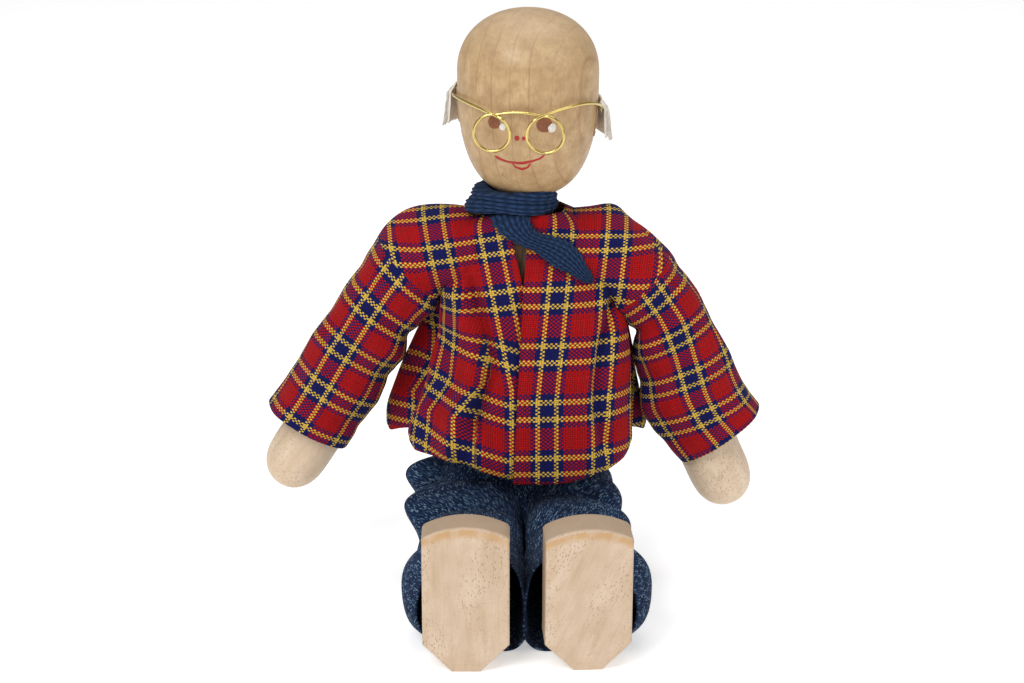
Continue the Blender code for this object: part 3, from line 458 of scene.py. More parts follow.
def make_cloth(name, grid, uv, thickness, finish, wrap, outward=1.0, hems=(True, True),
               later_uv=None, change=0):
    """A sheet of cloth with a thickness behind the grid's outer face.

    The inner face lies a thickness behind the outer one along its normals, and a strip
    joins the two round each open edge. An end that meets the next piece of the same cloth
    isn't a hem, so its edge stays sharp and its cloth is shaded as if it ran on. From the
    row of a change on, later_uv places the cloth.
    """
    rows, columns, _ = grid.shape
    inner = grid - outward * thickness * grid_normals(grid, wrap)
    size = rows * columns
    outer_quads = grid_quads(rows, columns, wrap)
    faces = [outer_quads, outer_quads[:, ::-1] + size]
    later_uv = uv if later_uv is None else later_uv
    corner_uv = np.concatenate([grid_uv(uv[:change + 1]), grid_uv(later_uv[change:])])
    corner_uv = corner_uv.reshape(-1, 4, 2)
    places = [corner_uv, corner_uv[:, ::-1]]
    numbers = np.arange(size).reshape(rows, columns)
    if wrap:
        numbers = np.concatenate([numbers, numbers[:, :1]], axis=1)
    edges = [(numbers[0], uv[0]), (numbers[-1][::-1], later_uv[-1][::-1])]
    if not wrap:
        edges += [(numbers[:, 0][::-1], uv[:, 0][::-1]), (numbers[:, -1], uv[:, -1])]
    for line, place in edges:
        faces.append(np.stack([line[1:], line[:-1], line[:-1] + size, line[1:] + size], axis=1))
        places.append(np.stack([place[1:], place[:-1], place[:-1], place[1:]], axis=1))
    faces, places = np.concatenate(faces), np.concatenate(places)
    if outward < 0.0:
        faces, places = faces[:, ::-1], places[:, ::-1]
    cloth = make_mesh(name, np.concatenate([grid, inner]), faces, finish, places)
    for hem, first in zip(hems, (0, size - columns)):
        for edge in cloth.data.edges:
            if not hem and all(first <= end % size < first + columns for end in edge.vertices):
                edge.use_edge_sharp = True
    return cloth


def hair_surface(azimuth, drop, lift):
    """A point of the strip: azimuth from the front, drop from its top edge to its foot."""
    leftward = (1.0 + np.sin(azimuth)) / 2.0
    top, bottom = [right + (left - right) * leftward for right, left in (HAIR_TOP, HAIR_BOTTOM)]
    height = top + (bottom - top) * drop
    from_end = np.minimum(azimuth - HAIR_START, HAIR_END - azimuth)
    over_wire = 1.0 - step_up(from_end, math.radians(6.0), math.radians(24.0))
    over_wire = over_wire * step_up(drop, 0.0, 0.22)
    radius = (head_radius_at(height) + CAD_GAP + (2.0 * WIRE_RADIUS + CAD_GAP) * over_wire
              + 0.0009 * drop ** 2 + lift)
    return points_round(radius, azimuth, height)


tree = Tree("plush_backing")
grain = tree.noise(tree.place(), 1800.0)
tree.bump(grain, 0.4, 0.0001)
backing_finish = tree.surface(tree.mix(grain, (0.76, 0.70, 0.60), (0.93, 0.89, 0.82)), 0.85)
azimuth = np.linspace(HAIR_START, HAIR_END, 90)[:, None]
drop = np.linspace(0.0, 1.0, 16)[None, :]
plush_backing = make_cloth(
    "plush_backing", to_frame(hair_surface(azimuth, drop, 0.00035), HEAD_PLACING),
    points_of(azimuth, drop), 0.00035, backing_finish, 0)
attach(plush_backing, "head")

# Each fibre is a thin three-sided taper of four rings. Its root lies on the backing, and
# its tip hangs lower and a little further out.
chance = np.random.default_rng(7)
root_azimuth = HAIR_START + (HAIR_END - HAIR_START) * chance.random(FIBRES)
corner = chance.random(FIBRES) < 0.16
near_end = HAIR_START + np.abs(chance.normal(0.0, math.radians(4.0), FIBRES))
other_end = chance.random(FIBRES) < 0.5
root_azimuth = np.where(corner, np.where(other_end, near_end, math.tau - near_end), root_azimuth)
root_drop = chance.random(FIBRES) ** 0.8 * 0.86
fibre_fall = np.minimum(0.26 + 0.30 * chance.random(FIBRES), 1.06 - root_drop)
lean_out = 0.00025 + 0.00055 * chance.random(FIBRES) + 0.0003 * root_drop
drift = chance.normal(0.0, 0.018, FIBRES)
fibre_radius = 0.000045 + 0.00003 * chance.random(FIBRES)
share = np.array([0.0, 0.35, 0.7, 1.0])[:, None]
centres = hair_surface(root_azimuth + drift * share, root_drop + fibre_fall * share,
                       0.00022 + lean_out * share * (1.6 - 0.6 * share)).swapaxes(0, 1)
# A ring's corners lie in the level plane, a third of a turn apart.
thirds = root_azimuth[:, None] + math.pi / 2.0 - full_turn(3)
spoke = points_round(fibre_radius[:, None], thirds, 0.0)[:, None]
taper = (1.0 - 0.8 * share)[None, :, :, None]
fibre_points = centres[:, :, None, :] + taper * spoke
firsts = 12 * np.arange(FIBRES)[:, None, None]
fibre_faces = (grid_quads(4, 3, 1) + firsts).reshape(-1, 4).tolist()
fibre_faces += (np.array([(2, 1, 0), (9, 10, 11)]) + firsts).reshape(-1, 3).tolist()
tree = Tree("white_plush")
strand = tree.noise(tree.stretch(tree.place(), (1.0, 1.0, 0.12)), 6000.0, 2.0)
patch = tree.noise(tree.place(), 500.0, 2.0)
colour = tree.mix(tree.span(strand, 0.35, 0.65), (0.76, 0.71, 0.61), (0.96, 0.93, 0.86))
colour = tree.mix(tree.span(patch, 0.50, 0.75, 0.0, 0.4), colour, (0.50, 0.43, 0.34))
fibres = make_mesh("plush_fibres", to_frame(fibre_points, HEAD_PLACING), fibre_faces,
                   tree.surface(colour, 0.75, sheen=0.25))
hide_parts("hair_fringe")
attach(fibres, "head")


# Brown bead
# A thin brown bead lies on the head along the strip's front edges.
def make_tube(name, path, radius, finish, sides):
    """A round wire along a path, with rounded ends. The radius may change along it."""
    radius = np.broadcast_to(radius, len(path)).astype(float)
    run = np.gradient(path, axis=0)
    run /= np.linalg.norm(run, axis=1, keepdims=True)
    rise = np.array([0.5, 0.87, 1.0])[:, None]
    cap = np.array([0.87, 0.5, 0.1])
    path = np.concatenate([(path[0] - run[0] * radius[0] * rise)[::-1], path,
                           path[-1] + run[-1] * radius[-1] * rise])
    radius = np.concatenate([radius[0] * cap[::-1], radius, radius[-1] * cap])
    run = np.concatenate([run[:1]] * 3 + [run] + [run[-1:]] * 3)
    side = np.cross(run[0], (0.3, 0.5, 0.81))
    turns = full_turn(sides)
    rings = []
    for place, along, reach in zip(path, run, radius):
        side = side - along * side.dot(along)
        side /= np.linalg.norm(side)
        other = np.cross(along, side)
        rings.append(place + reach * (np.outer(np.cos(turns), side)
                                      + np.outer(np.sin(turns), other)))
    return make_mesh(name, rings, ring_faces(len(path), sides), finish)


tree = Tree("brown_bead")
grain = tree.noise(tree.place(), 1500.0)
brown_bead_finish = tree.surface(tree.mix(grain, (0.20, 0.11, 0.05), (0.42, 0.27, 0.14)), 0.4, coat=0.3)
drop = np.linspace(0.10, 0.92, 40)
swell = 0.00022 + 0.00007 * np.sin(drop * 31.0) + 0.00004 * np.sin(drop * 77.0)
for side, azimuth in (("left", HAIR_START - 0.035), ("right", HAIR_END + 0.035)):
    height = hair_surface(azimuth, drop, 0.0)[:, 2]
    bead = points_round(head_radius_at(height) + 0.00005, azimuth, height)
    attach(make_tube("brown_bead_" + side, to_frame(bead, HEAD_PLACING), swell, brown_bead_finish, 8), "head")


# Spectacles
# One length of gilt wire: a bridge, a ring before each eye whose end crosses over its
# start, and a temple that bows up to each side and tucks between the head and the plush.
FACE_REACH = HEAD_RADIUS + 0.0008
RING_CENTRE, RING_HEIGHT, RING_RADIUS = 0.0046, 0.0139, 0.00316
CROSSING, RING_GAP, TEMPLE_END = math.radians(79.0), math.radians(18.0), math.radians(94.0)
TEMPLE_MIDDLE = 0.0183


def spectacle_half(temple_end):
    """The wire from the bridge's middle out to a temple's end, on the doll's left side."""
    turns = np.linspace(math.pi - CROSSING, -math.pi - CROSSING + RING_GAP, 72)
    x = RING_CENTRE + RING_RADIUS * np.cos(turns)
    z = RING_HEIGHT + RING_RADIUS * np.sin(turns)
    y = -FACE_REACH - 3.0 * WIRE_RADIUS * np.linspace(0.0, 1.0, 72)
    bridge = np.linspace(0.0, 0.9, 12)
    bridge_z = z[0] + 2.0 * WIRE_RADIUS * (1.0 - bridge ** 2)
    share = np.linspace(0.0, 1.0, 40)[1:]
    start, far = math.atan2(x[-1], -y[-1]), math.hypot(x[-1], y[-1])
    radius = far + (HEAD_RADIUS + CAD_GAP + WIRE_RADIUS - far) * np.sqrt(share)
    bow = TEMPLE_MIDDLE - (z[-1] + temple_end) / 2.0
    temple_z = z[-1] + (temple_end - z[-1]) * share + 4.0 * bow * share * (1.0 - share)
    return np.concatenate([
        points_of(x[0] * bridge, -FACE_REACH, bridge_z), points_of(x, y, z),
        points_round(radius, start + (TEMPLE_END - start) * share, temple_z)])


tree = Tree("gilt_wire")
wear = tree.noise(tree.place(), 900.0)
tree.bump(tree.noise(tree.place(), 9000.0, 2.0), 0.08, 0.00002)
gilt_finish = tree.surface(tree.mix(wear, (0.55, 0.41, 0.11), (0.76, 0.60, 0.24)),
                           tree.span(wear, 0.3, 0.7, 0.13, 0.26), metallic=1.0)
wire_path = np.concatenate([(spectacle_half(0.0172) * (-1.0, 1.0, 1.0))[::-1],
                            spectacle_half(0.0151)[1:]])
# Each point is averaged with its neighbours, so that the wire bends without corners.
for _ in range(3):
    wire_path[1:-1] = 0.25 * wire_path[:-2] + 0.5 * wire_path[1:-1] + 0.25 * wire_path[2:]
# They sit a little to the doll's left on the face.
wire_path[:, 0] += 0.00035 * np.clip(-wire_path[:, 1] / FACE_REACH, 0.0, 1.0)
spectacles = make_tube("gilt_spectacles", to_frame(wire_path, HEAD_PLACING), WIRE_RADIUS,
                       gilt_finish, 14)
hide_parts("spectacles")
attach(spectacles, "head")


# Tartan
# A plain weave: 24 yarns to the repeat across, whose yellow bars are two yarns wide, and
# 30 finer ones upward, with bars of three. A corner's place in the cloth is counted in
# yarns, and each yarn lies on top at every second crossing.
WARP_YARN, WARP_COUNT, WARP_MIDDLE = 0.000415, 24, 5.0
WEFT_YARN, WEFT_COUNT, WEFT_MIDDLE = 0.000323, 30, 6.0
WARP_SETT = [(0, "yellow"), (2, "navy"), (8, "yellow"), (10, "navy"), (12, "red"), (22, "navy")]
WEFT_SETT = [(0, "yellow"), (3, "navy"), (9, "yellow"), (12, "navy"), (15, "red"), (27, "navy")]
DYES = {"red": (0.37, 0.005, 0.007), "navy": (0.006, 0.008, 0.085), "yellow": (0.63, 0.41, 0.06)}

tree = Tree("tartan_cotton")
u, v, _ = tree.split(tree.place("UV"))
warp, weft = u.of("FLOOR"), v.of("FLOOR")
warp_on_top = ((warp - weft) / 2.0).of("FRACT").below(0.25)
dyed, rounded, own_shade = [], [], []
for yarn, across, sett, count, seed in ((warp, u, WARP_SETT, WARP_COUNT, 3.7),
                                        (weft, v, WEFT_SETT, WEFT_COUNT, 9.1)):
    stops = [(start / count, DYES[dye]) for start, dye in sett]
    dyed.append(tree.ramp(((yarn + 0.5) / count).of("FRACT"), stops, steps=True))
    middle = across.of("FRACT") - 0.5
    rounded.append(1.0 - middle * middle * 4.0)
    own_shade.append(tree.random(tree.join(yarn, seed)))
on_top, shade_on_top = [pair[0] * warp_on_top + pair[1] * (1.0 - warp_on_top)
                        for pair in (rounded, own_shade)]
# A yarn also dips at both ends of the stretch that lies on top.
humped = on_top * 0.45 + rounded[0] * rounded[1] * 0.55
fibre = tree.noise(tree.join(u, v), 3.1, 3.0, 0.65)
fuzz = tree.noise(tree.place(), 9000.0, 2.0)
# The colour is darkened toward each yarn's edges and the ends of its stretch on top, where it dips:
# painted shade in the weave's hollows. Each yarn's own tone and the fibres' random tone vary it too.
weave_shade_and_tone = (tree.span(humped, 0.0, 0.75, 0.30, 1.06) * tree.span(shade_on_top, 0.0, 1.0, 0.88, 1.10)
         * tree.span(fibre, 0.25, 0.75, 0.80, 1.16))
grey = Value(tree, tree.node("ShaderNodeCombineColor", {0: weave_shade_and_tone, 1: weave_shade_and_tone, 2: weave_shade_and_tone}).outputs[0])
tree.bump(humped + fuzz * 0.5, 0.55, 0.00009)
colour = tree.mix(1.0, tree.mix(warp_on_top, dyed[1], dyed[0]), grey, "MULTIPLY")
tartan = tree.surface(colour, tree.span(fuzz, 0.3, 0.7, 0.80, 0.92), sheen=0.02, specular=0.12)


# Shirt body
# Two panels that meet at the back and lap in front, under the scarf. Each ring round the
# body is a squared-off oval, with a sharp crease at the side and a slack flap behind it.
# Height tables are in millimetres: where, then how far out at the panel's front edge.
MM = 0.001
CLOTH = 0.0004
SIDES = {"right": -1.0, "left": 1.0}
BODY_HEIGHTS = np.array([20, 25, 29, 31, 37, 41, 47, 51, 54, 60, 64, 65.6, 66.9, 67.8, 69.0]) * MM
YOKE_SIDE = [14.4, 13.7, 12.4, 9.6, 6.5, 5.6]
BODY_SIDE = {
    "right": np.array([22.3, 22.2, 21.8, 20.9, 18.5, 17.7, 16.4, 15.6, 15.1] + YOKE_SIDE) * MM,
    "left": np.array([20.2, 20.3, 20.3, 20.2, 20.0, 19.9, 19.2, 18.0, 16.6, 14.6]
                     + YOKE_SIDE[1:]) * MM,
}
BODY_FLAP = {
    "right": np.array([24.6, 25.2, 25.2, 24.6, 22.4, 20.6, 17.8, 16.2, 15.4] + YOKE_SIDE) * MM,
    "left": np.array([22.2, 22.4, 22.0, 21.2, 19.8, 19.2, 17.8, 16.6, 15.6, 14.6]
                     + YOKE_SIDE[1:]) * MM,
}
BODY_FRONT = np.array([16.4, 16.2, 15.5, 15.1, 13.7, 12.7, 11.2, 10.2, 9.7, 8.7, 8.3, 8.1,
                       7.9, 7.6, 6.6]) * MM
BODY_BACK = np.array([13.5, 13.3, 12.9, 12.6, 11.8, 11.2, 10.2, 9.6, 9.3, 8.8, 8.5, 8.2,
                      7.4, 6.4, 5.4]) * MM
# The ovals' squareness, and where the columns of yarns change to the back's.
SQUARE = 2.6
BACK_SEAM = math.radians(115.0)
HEM_TURNS = np.radians([-20, 4, 14, 22, 42, 60, 76, 84, 98, 125, 180])
HEM = {
    "right": np.array([22.0, 22.4, 23.6, 25.0, 25.6, 25.5, 27.2, 27.4, 24.7, 24.4, 23.0]) * MM,
    "left": np.array([21.6, 21.4, 21.5, 21.9, 22.9, 24.2, 26.4, 27.6, 25.0, 24.4, 23.0]) * MM,
}
LAP = {
    "right": np.array([[20, 50, 54.5, 55.8, 63.5, 68], [-2.6, -2.6, -1.4, 0.3, 2.0, 2.7]]) * MM,
    "left": np.array([[20, 36, 55.6, 63.5, 68], [-2.1, -1.3, -0.2, 0.4, 0.7]]) * MM,
}
# The pleat in the shirt's right front, from below: its place out from the middle, and how
# much of the cloth's width the part beyond it has slid. At its foot that is one repeat.
PLEAT_PLACE = np.array([[32, 35.4, 39, 41.6, 46, 50.5, 56],
                        [8.6, 7.8, 6.5, 5.9, 6.5, 7.8, 9.6]]) * MM
PLEAT_HIDES = np.array([[33, 36.5, 39, 46, 52],
                        [WARP_COUNT * WARP_YARN / MM, 7.2, 5.0, 2.3, 0.0]]) * MM
# Folds in front: the line that each follows (out from the middle, height), its rise and
# its half width.
FOLDS = {
    "right": [([(11.6, 54), (9.2, 46), (8.6, 41.6), (9.6, 38), (11.6, 33), (13.0, 27)], 1.9, 2.2),
              ([(9.6, 56), (7.8, 50.5), (6.5, 46), (5.9, 41.6), (6.5, 39), (7.8, 35.4), (8.6, 32)],
               -1.8, 1.0),
              ([(15.2, 47), (14.2, 40), (16.5, 33), (18, 29)], -0.7, 1.6),
              ([(13.5, 60), (11.5, 56), (9.0, 54)], -0.35, 1.3)],
    "left": [([(17.0, 54), (14.2, 46), (13.0, 39), (13.2, 34), (14.2, 28)], -1.7, 1.2),
             ([(11.5, 50), (11.0, 42), (10.8, 34), (11.5, 25)], 0.45, 2.4),
             ([(5.6, 46), (5.4, 34), (5.0, 25)], -0.25, 2.0)],
}


def signed_power(value, power):
    """The power of a value's size, with the value's sign."""
    return np.sign(value) * np.abs(value) ** power


def hump(x, middle, width):
    """A bell of height 1."""
    return np.exp(-((x - middle) / width) ** 2)


def body_yarns(x, y, z, across, side):
    """Yarn counts on the shirt's body, where across is the length round from the front.

    On the doll's left the columns stand upright and lean out above the waist. On its right
    the cloth is turned, and a pleat hides part of a repeat, so the columns beyond it lie
    further out the lower they are. Over the shoulders the rows follow the cloth's length.
    At the back, across is the length round from the middle, and the columns stand upright.
    """
    column = across
    row = z - 0.0345
    if side == "left":
        column = across - 0.00397 - 0.10 * np.maximum(z - 0.036, 0.0)
    if side == "right":
        hidden = np.interp(z, *PLEAT_HIDES) * (-x > np.interp(z, *PLEAT_PLACE))
        column = across + 0.0006 + 0.21 * np.maximum(z - 0.038, 0.0) + hidden
        slope = -0.28 + 0.45 * step_up(z, 0.045, 0.053)
        row = z - 0.0342 - slope * (np.maximum(x, -0.019) + 0.0035)
    row = row + 0.55 * np.maximum(y + 0.0085, 0.0) * step_up(z, 0.060, 0.067)
    return points_of(WARP_MIDDLE + column / WARP_YARN, WEFT_MIDDLE + row / WEFT_YARN)


def fold_rise(side, out, z):
    """How far the folds lift the cloth at a place out from the middle, at a height."""
    total = 0.10 * MM * np.sin(out / (2.1 * MM) + 1.3) * np.sin(z / (4.3 * MM))
    for line, rise, width in FOLDS[side]:
        places = np.array(line[::-1]) * MM
        middle = smooth_line(places[:, 1], places[:, 0], z)
        fade = step_up(z, places[0, 1] - 5.0 * MM, places[0, 1] + MM)
        fade = fade * (1.0 - step_up(z, places[-1, 1] - 2.0 * MM, places[-1, 1] + 3.0 * MM))
        total = total + rise * MM * fade * hump(out, middle, width * MM)
    return total


for side, sign in SIDES.items():
    height = np.linspace(0.0, 1.0, 130)[:, None]
    share = np.linspace(0.0, 1.0, 190)[None, :]
    azimuth = share * math.pi + 0.0 * height
    # The hem's height and the front edge's place depend on each other, so they take turns.
    for _ in range(2):
        hem = np.interp(azimuth, HEM_TURNS, HEM[side])
        z = hem + height * (0.0676 + 0.0003 * (1.0 + np.cos(azimuth)) - hem)
        lap = np.interp(z, *LAP[side])
        reach = np.interp(z, BODY_HEIGHTS, BODY_SIDE[side])
        near = np.clip(np.abs(lap) / reach, 0.0, 1.0)
        first = np.sign(lap) * np.arcsin(near ** (SQUARE / 2.0))
        azimuth = first[:, :1] + (math.pi - first[:, :1]) * share
    side_reach, flap, front, back = [
        smooth_line(BODY_HEIGHTS, table, z)
        for table in (BODY_SIDE[side], BODY_FLAP[side], BODY_FRONT, BODY_BACK)]
    low = 1.0 - step_up(z, 0.044, 0.058)
    behind = step_up(azimuth, math.radians(84.0), math.radians(106.0))
    width = side_reach + (flap - side_reach) * behind
    width = width - 3.0 * MM * low * hump(azimuth, math.radians(85.0), math.radians(7.5))
    width = width + 0.8 * MM * low * behind * np.sin(4.0 * azimuth + 1.0)
    back = back + 0.7 * MM * low * np.cos(7.0 * azimuth)
    cosine = np.cos(azimuth)
    out = width * signed_power(np.sin(azimuth), 2.0 / SQUARE)
    y = -np.where(cosine > 0.0, front, back) * signed_power(cosine, 2.0 / SQUARE)
    plain = points_of(sign * out, y, z)
    across = out[:, :1] + run_length(plain[:, :, :2], 1)
    uv = body_yarns(plain[:, :, 0], y, z, sign * across, side)
    back_uv = body_yarns(plain[:, :, 0], y, z, sign * (across[:, -1:] - across), "back")
    uv = np.where(azimuth[:, :, None] > BACK_SEAM, back_uv, uv)

    rise = step_up(cosine, 0.05, 0.35) * fold_rise(side, out, z)
    if side == "right":
        under = 1.0 - step_up(out, 0.0, 3.0 * MM)
        rise = rise - 0.9 * MM * under * (1.0 - step_up(z, 0.053, 0.058))
    roll = 0.35 * MM * (1.0 - step_up(height, 0.0, 0.03))
    grid = plain + grid_normals(plain, 0) * sign * (rise - roll)[:, :, None]
    panel = make_cloth("shirt_panel_" + side, grid, uv, CLOTH, tartan, 0, sign)
    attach(panel, "torso")
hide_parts("shirt_body")


# Sleeves
# Each runs out of the shirt's yoke, over a dropped shoulder seam and down to a wide cuff.
# A table row is a ring in millimetres: its outer place (out, height), its inner place and
# its half depth. Above the seam the body's tartan runs on, and below it the sleeve's own.
# Each sleeve is made in an upper piece and a lower one.
SLEEVE_RINGS = {
    "right": [(8.5, 67.3, 8.5, 54.0, 7.7), (12.0, 67.9, 12.0, 53.6, 7.9),
              (16.0, 68.1, 14.2, 53.2, 7.7), (19.5, 67.8, 14.4, 52.8, 7.5),
              (22.0, 66.8, 14.5, 52.4, 7.3), (24.2, 64.6, 14.6, 52.0, 7.2),
              (25.8, 62.2, 14.9, 51.2, 7.2), (27.3, 60.0, 16.0, 49.9, 7.2),
              (28.8, 57.9, 17.6, 48.0, 7.2), (31.6, 53.4, 20.0, 44.4, 7.2),
              (34.8, 48.9, 22.2, 40.2, 7.2), (37.9, 44.4, 24.3, 36.2, 7.2),
              (40.5, 39.9, 26.9, 31.6, 7.3), (43.2, 35.4, 29.5, 27.2, 7.4),
              (46.2, 31.4, 31.9, 23.4, 7.5)],
    "left": [(8.5, 67.3, 8.5, 54.0, 7.7), (12.0, 67.6, 12.0, 53.6, 7.9),
             (14.6, 68.2, 14.0, 53.0, 7.8), (16.6, 68.3, 14.2, 52.4, 7.6),
             (18.2, 66.0, 14.6, 51.8, 7.4), (20.4, 64.4, 15.0, 51.2, 7.2),
             (23.0, 62.2, 15.6, 50.6, 7.2), (26.0, 59.4, 16.4, 49.6, 7.2),
             (28.65, 55.6, 18.2, 46.8, 7.2), (31.5, 51.1, 19.6, 44.2, 7.2),
             (34.1, 46.6, 20.2, 39.6, 7.2), (36.3, 42.2, 20.4, 35.6, 7.2),
             (38.2, 37.7, 21.0, 31.2, 7.3), (40.6, 33.2, 23.4, 26.0, 7.4),
             (42.6, 30.6, 28.2, 20.6, 7.5)],
}
SEAM_RING = {"right": 6, "left": 7}
# Middles of the tartan's blocks on the sleeve: where the first lies along the sleeve from
# the seam, how far outward of the sleeve's middle, and the yarn's length along it.
SLEEVE_BLOCK = {"right": (0.0005, 0.0026, 0.000284), "left": (0.0030, 0.0008, 0.000259)}
# A fold's place along the sleeve, its rise in millimetres and its half width.
SLEEVE_FOLDS = {
    "right": [(0.30, 0.75, 0.040), (0.44, -0.8, 0.032), (0.53, 0.55, 0.035), (0.63, -0.45, 0.03),
              (0.74, 0.35, 0.04), (0.86, -0.3, 0.03)],
    "left": [(0.28, 0.6, 0.035), (0.42, -0.9, 0.030), (0.52, 0.6, 0.040), (0.64, -0.5, 0.035),
             (0.76, 0.45, 0.04), (0.88, -0.3, 0.03)],
}
ROWS_TO_SEAM = 70
joint_place = {joint["name"]: np.array(joint["pos_m"])
               for joint in frame["record"]["behaviour"]["joints"]}


def closed(grid):
    """A grid of closed rings, with each ring's first point again at its end."""
    return np.concatenate([grid, grid[:, :1]], axis=1)


def make_limb(name, side, grid, normal, uv, split, lap, finish, outward, later_uv=None, change=0):
    """A limb's two pieces of cloth. The upper one runs on a little way inside the lower."""
    later_uv = uv if later_uv is None else later_uv
    upper = grid[:split + lap].copy()
    upper[split - 1:] -= 0.00008 * normal[split - 1:split + lap]
    top = make_cloth(name + "_top_" + side, upper, uv[:split + lap], CLOTH, finish, 1, outward,
                     (True, False), later_uv[:split + lap], change)
    low = make_cloth(name + "_low_" + side, grid[split:], later_uv[split:], CLOTH, finish, 1,
                     outward, (False, True))
    return top, low


for side, sign in SIDES.items():
    rings = np.array(SLEEVE_RINGS[side]) * MM
    length = run_length((rings[:, 0:2] + rings[:, 2:4]) / 2.0)
    stations = length / length[-1]
    seam = stations[SEAM_RING[side]]
    # One row lies exactly on the seam, so that the tartan changes along it.
    share = np.concatenate([np.linspace(0.0, seam, ROWS_TO_SEAM),
                            np.linspace(seam, 1.0, 121)[1:]])[:, None]
    # A turn of zero is the outer edge, and a quarter turn the middle of the front.
    turn = full_turn(150)
    outer_x, outer_z, inner_x, inner_z, half_depth = [
        smooth_line(stations, ring, share) for ring in rings.T]
    round_up = signed_power(np.cos(turn), 0.88)
    out = (outer_x + inner_x) / 2.0 + (outer_x - inner_x) / 2.0 * round_up
    up = (outer_z + inner_z) / 2.0 + (outer_z - inner_z) / 2.0 * round_up
    plain = points_of(sign * out, -half_depth * signed_power(np.sin(turn), 0.88), up)

    # Folds run round the sleeve and deepen on the inner side, where the slack gathers.
    inner_side = 0.35 + 0.65 * step_up(-np.cos(turn), -0.9, 0.9)
    slant = share + 0.05 * np.cos(turn) + 0.012 * np.sin(3.0 * turn)
    rise = 0.12 * MM * np.sin(7.0 * turn + 9.0 * share)
    for place, lift, width in SLEEVE_FOLDS[side]:
        rise = rise + lift * MM * hump(slant, place, width) * inner_side
    rise = rise * step_up(share, 0.14, 0.30)
    normal = grid_normals(plain, 1) * sign
    grid = plain + normal * rise[:, :, None]

    yoke = body_yarns(*np.moveaxis(plain, -1, 0), sign * (out + 0.0006), side)
    around = run_length(closed(plain), 1)
    outward = around[:, len(turn) // 4][:, None] - around
    first, aside, yarn_along = SLEEVE_BLOCK[side]
    along = (share - seam) * length[-1] - first
    own = points_of(WARP_MIDDLE + (outward - aside) / WARP_YARN, WEFT_MIDDLE - along / yarn_along)
    split = int(np.searchsorted(share[:, 0], (seam + 1.0) / 2.0 - 0.16))
    top, low = make_limb("sleeve", side, grid, normal, closed(yoke), split, 5, tartan, sign, own,
                         ROWS_TO_SEAM - 1)
    for piece, node in ((top, "sleeve_upper_" + side), (low, "sleeve_lower_" + side)):
        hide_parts(node)
    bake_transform(top)
    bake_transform(low)


# Trousers
# A fine navy jersey flecked with pale blue. A corner's place is counted in stitches.
# The seat rides on the torso. Each leg is made in an upper and a lower piece, and both
# pile up in the rings of a leg pulled short by sitting.
STITCH = 0.00030
KNEE_SPLIT = 14.5
# A ring of a leg in millimetres: how far forward of the hip, its outer place, its inner
# place, its top, its foot, and how far a fold stands out from its upper outer corner. The
# rings stand on the folds and in the dips between them.
LEG_RINGS = {
    "right": [(-3.0, 17.0, 0.6, 21.2, 0.4, 3.8), (-0.8, 17.8, 0.3, 22.4, 0.3, 5.2),
              (1.9, 16.9, 0.6, 18.6, 0.3, 2.0), (5.8, 18.2, 0.2, 18.6, 0.3, 4.7),
              (11.0, 17.7, 0.5, 14.6, 0.3, 1.0), (15.6, 18.3, 0.4, 16.2, 0.4, 0.6),
              (22.5, 17.9, 0.5, 14.6, 0.4, 0.2), (31.5, 20.8, 0.2, 18.0, 0.4, 0.0),
              (37.0, 18.3, 0.2, 17.2, 0.3, 0.0)],
    "left": [(-3.0, 14.4, 0.6, 19.2, 0.4, 0.2), (4.4, 16.0, 0.3, 19.6, 0.3, 2.6),
             (8.2, 14.9, 0.6, 16.5, 0.3, 0.8), (12.8, 18.0, 0.3, 17.2, 0.3, 2.0),
             (17.0, 18.0, 0.5, 15.0, 0.3, 0.8), (20.5, 18.7, 0.4, 16.2, 0.3, 0.5),
             (25.0, 18.5, 0.5, 14.8, 0.4, 0.2), (32.0, 21.4, 0.2, 18.2, 0.4, 0.0),
             (37.0, 18.9, 0.2, 17.4, 0.3, 0.0)],
}

tree = Tree("flecked_jersey")
u, v, _ = tree.split(tree.place("UV"))
half = (u * 2.0).of("FLOOR")
across = (u * 2.0).of("FRACT")
odd = (half * 0.5).of("FRACT").below(0.25)
rise = v + (across * odd + (1.0 - across) * (1.0 - odd)) * 0.9
middle = across - 0.5
bend = rise.of("FRACT") - 0.5
yarn = tree.span(middle * middle + bend * bend * 0.8, 0.04, 0.30, 1.0, 0.0)
drift = tree.noise(tree.join(u * 0.5, v * 0.16), 1.0, 2.0, 0.7)
pick = tree.random(tree.join(half, rise.of("FLOOR"))) * 0.75 + drift * 0.25
dyed = tree.ramp(pick, [(0.25, (0.003, 0.009, 0.032)), (0.50, (0.009, 0.028, 0.088)),
                        (0.64, (0.018, 0.050, 0.130)), (0.76, (0.070, 0.140, 0.260)),
                        (0.88, (0.300, 0.430, 0.560))])
# The colour darkens toward the gaps between the stitches: painted shade in the knit's hollows.
colour = tree.mix(tree.span(yarn, 0.0, 1.0, 0.75, 0.0), dyed, (0.004, 0.009, 0.028))
worn = tree.noise(tree.place(), 160.0, 2.0)
colour = tree.mix(tree.span(worn, 0.50, 0.75, 0.0, 0.15), colour, (0.040, 0.080, 0.160))
tree.bump(yarn + tree.noise(tree.place(), 9000.0, 2.0) * 0.5, 0.7, 0.00012)
jersey = tree.surface(colour, 0.9, sheen=0.03, specular=0.15)


def folded_line(places, values, station):
    """Values between places: round over each rise and sharp in each dip."""
    k = np.clip(np.searchsorted(places, station, side="right") - 1, 0, len(places) - 2)
    share = np.clip((station - places[k]) / (places[k + 1] - places[k]), 0.0, 1.0)
    low, high = values[k], values[k + 1]
    quarter = share * math.pi / 2.0
    return low + (high - low) * np.where(high > low, np.sin(quarter), 1.0 - np.cos(quarter))


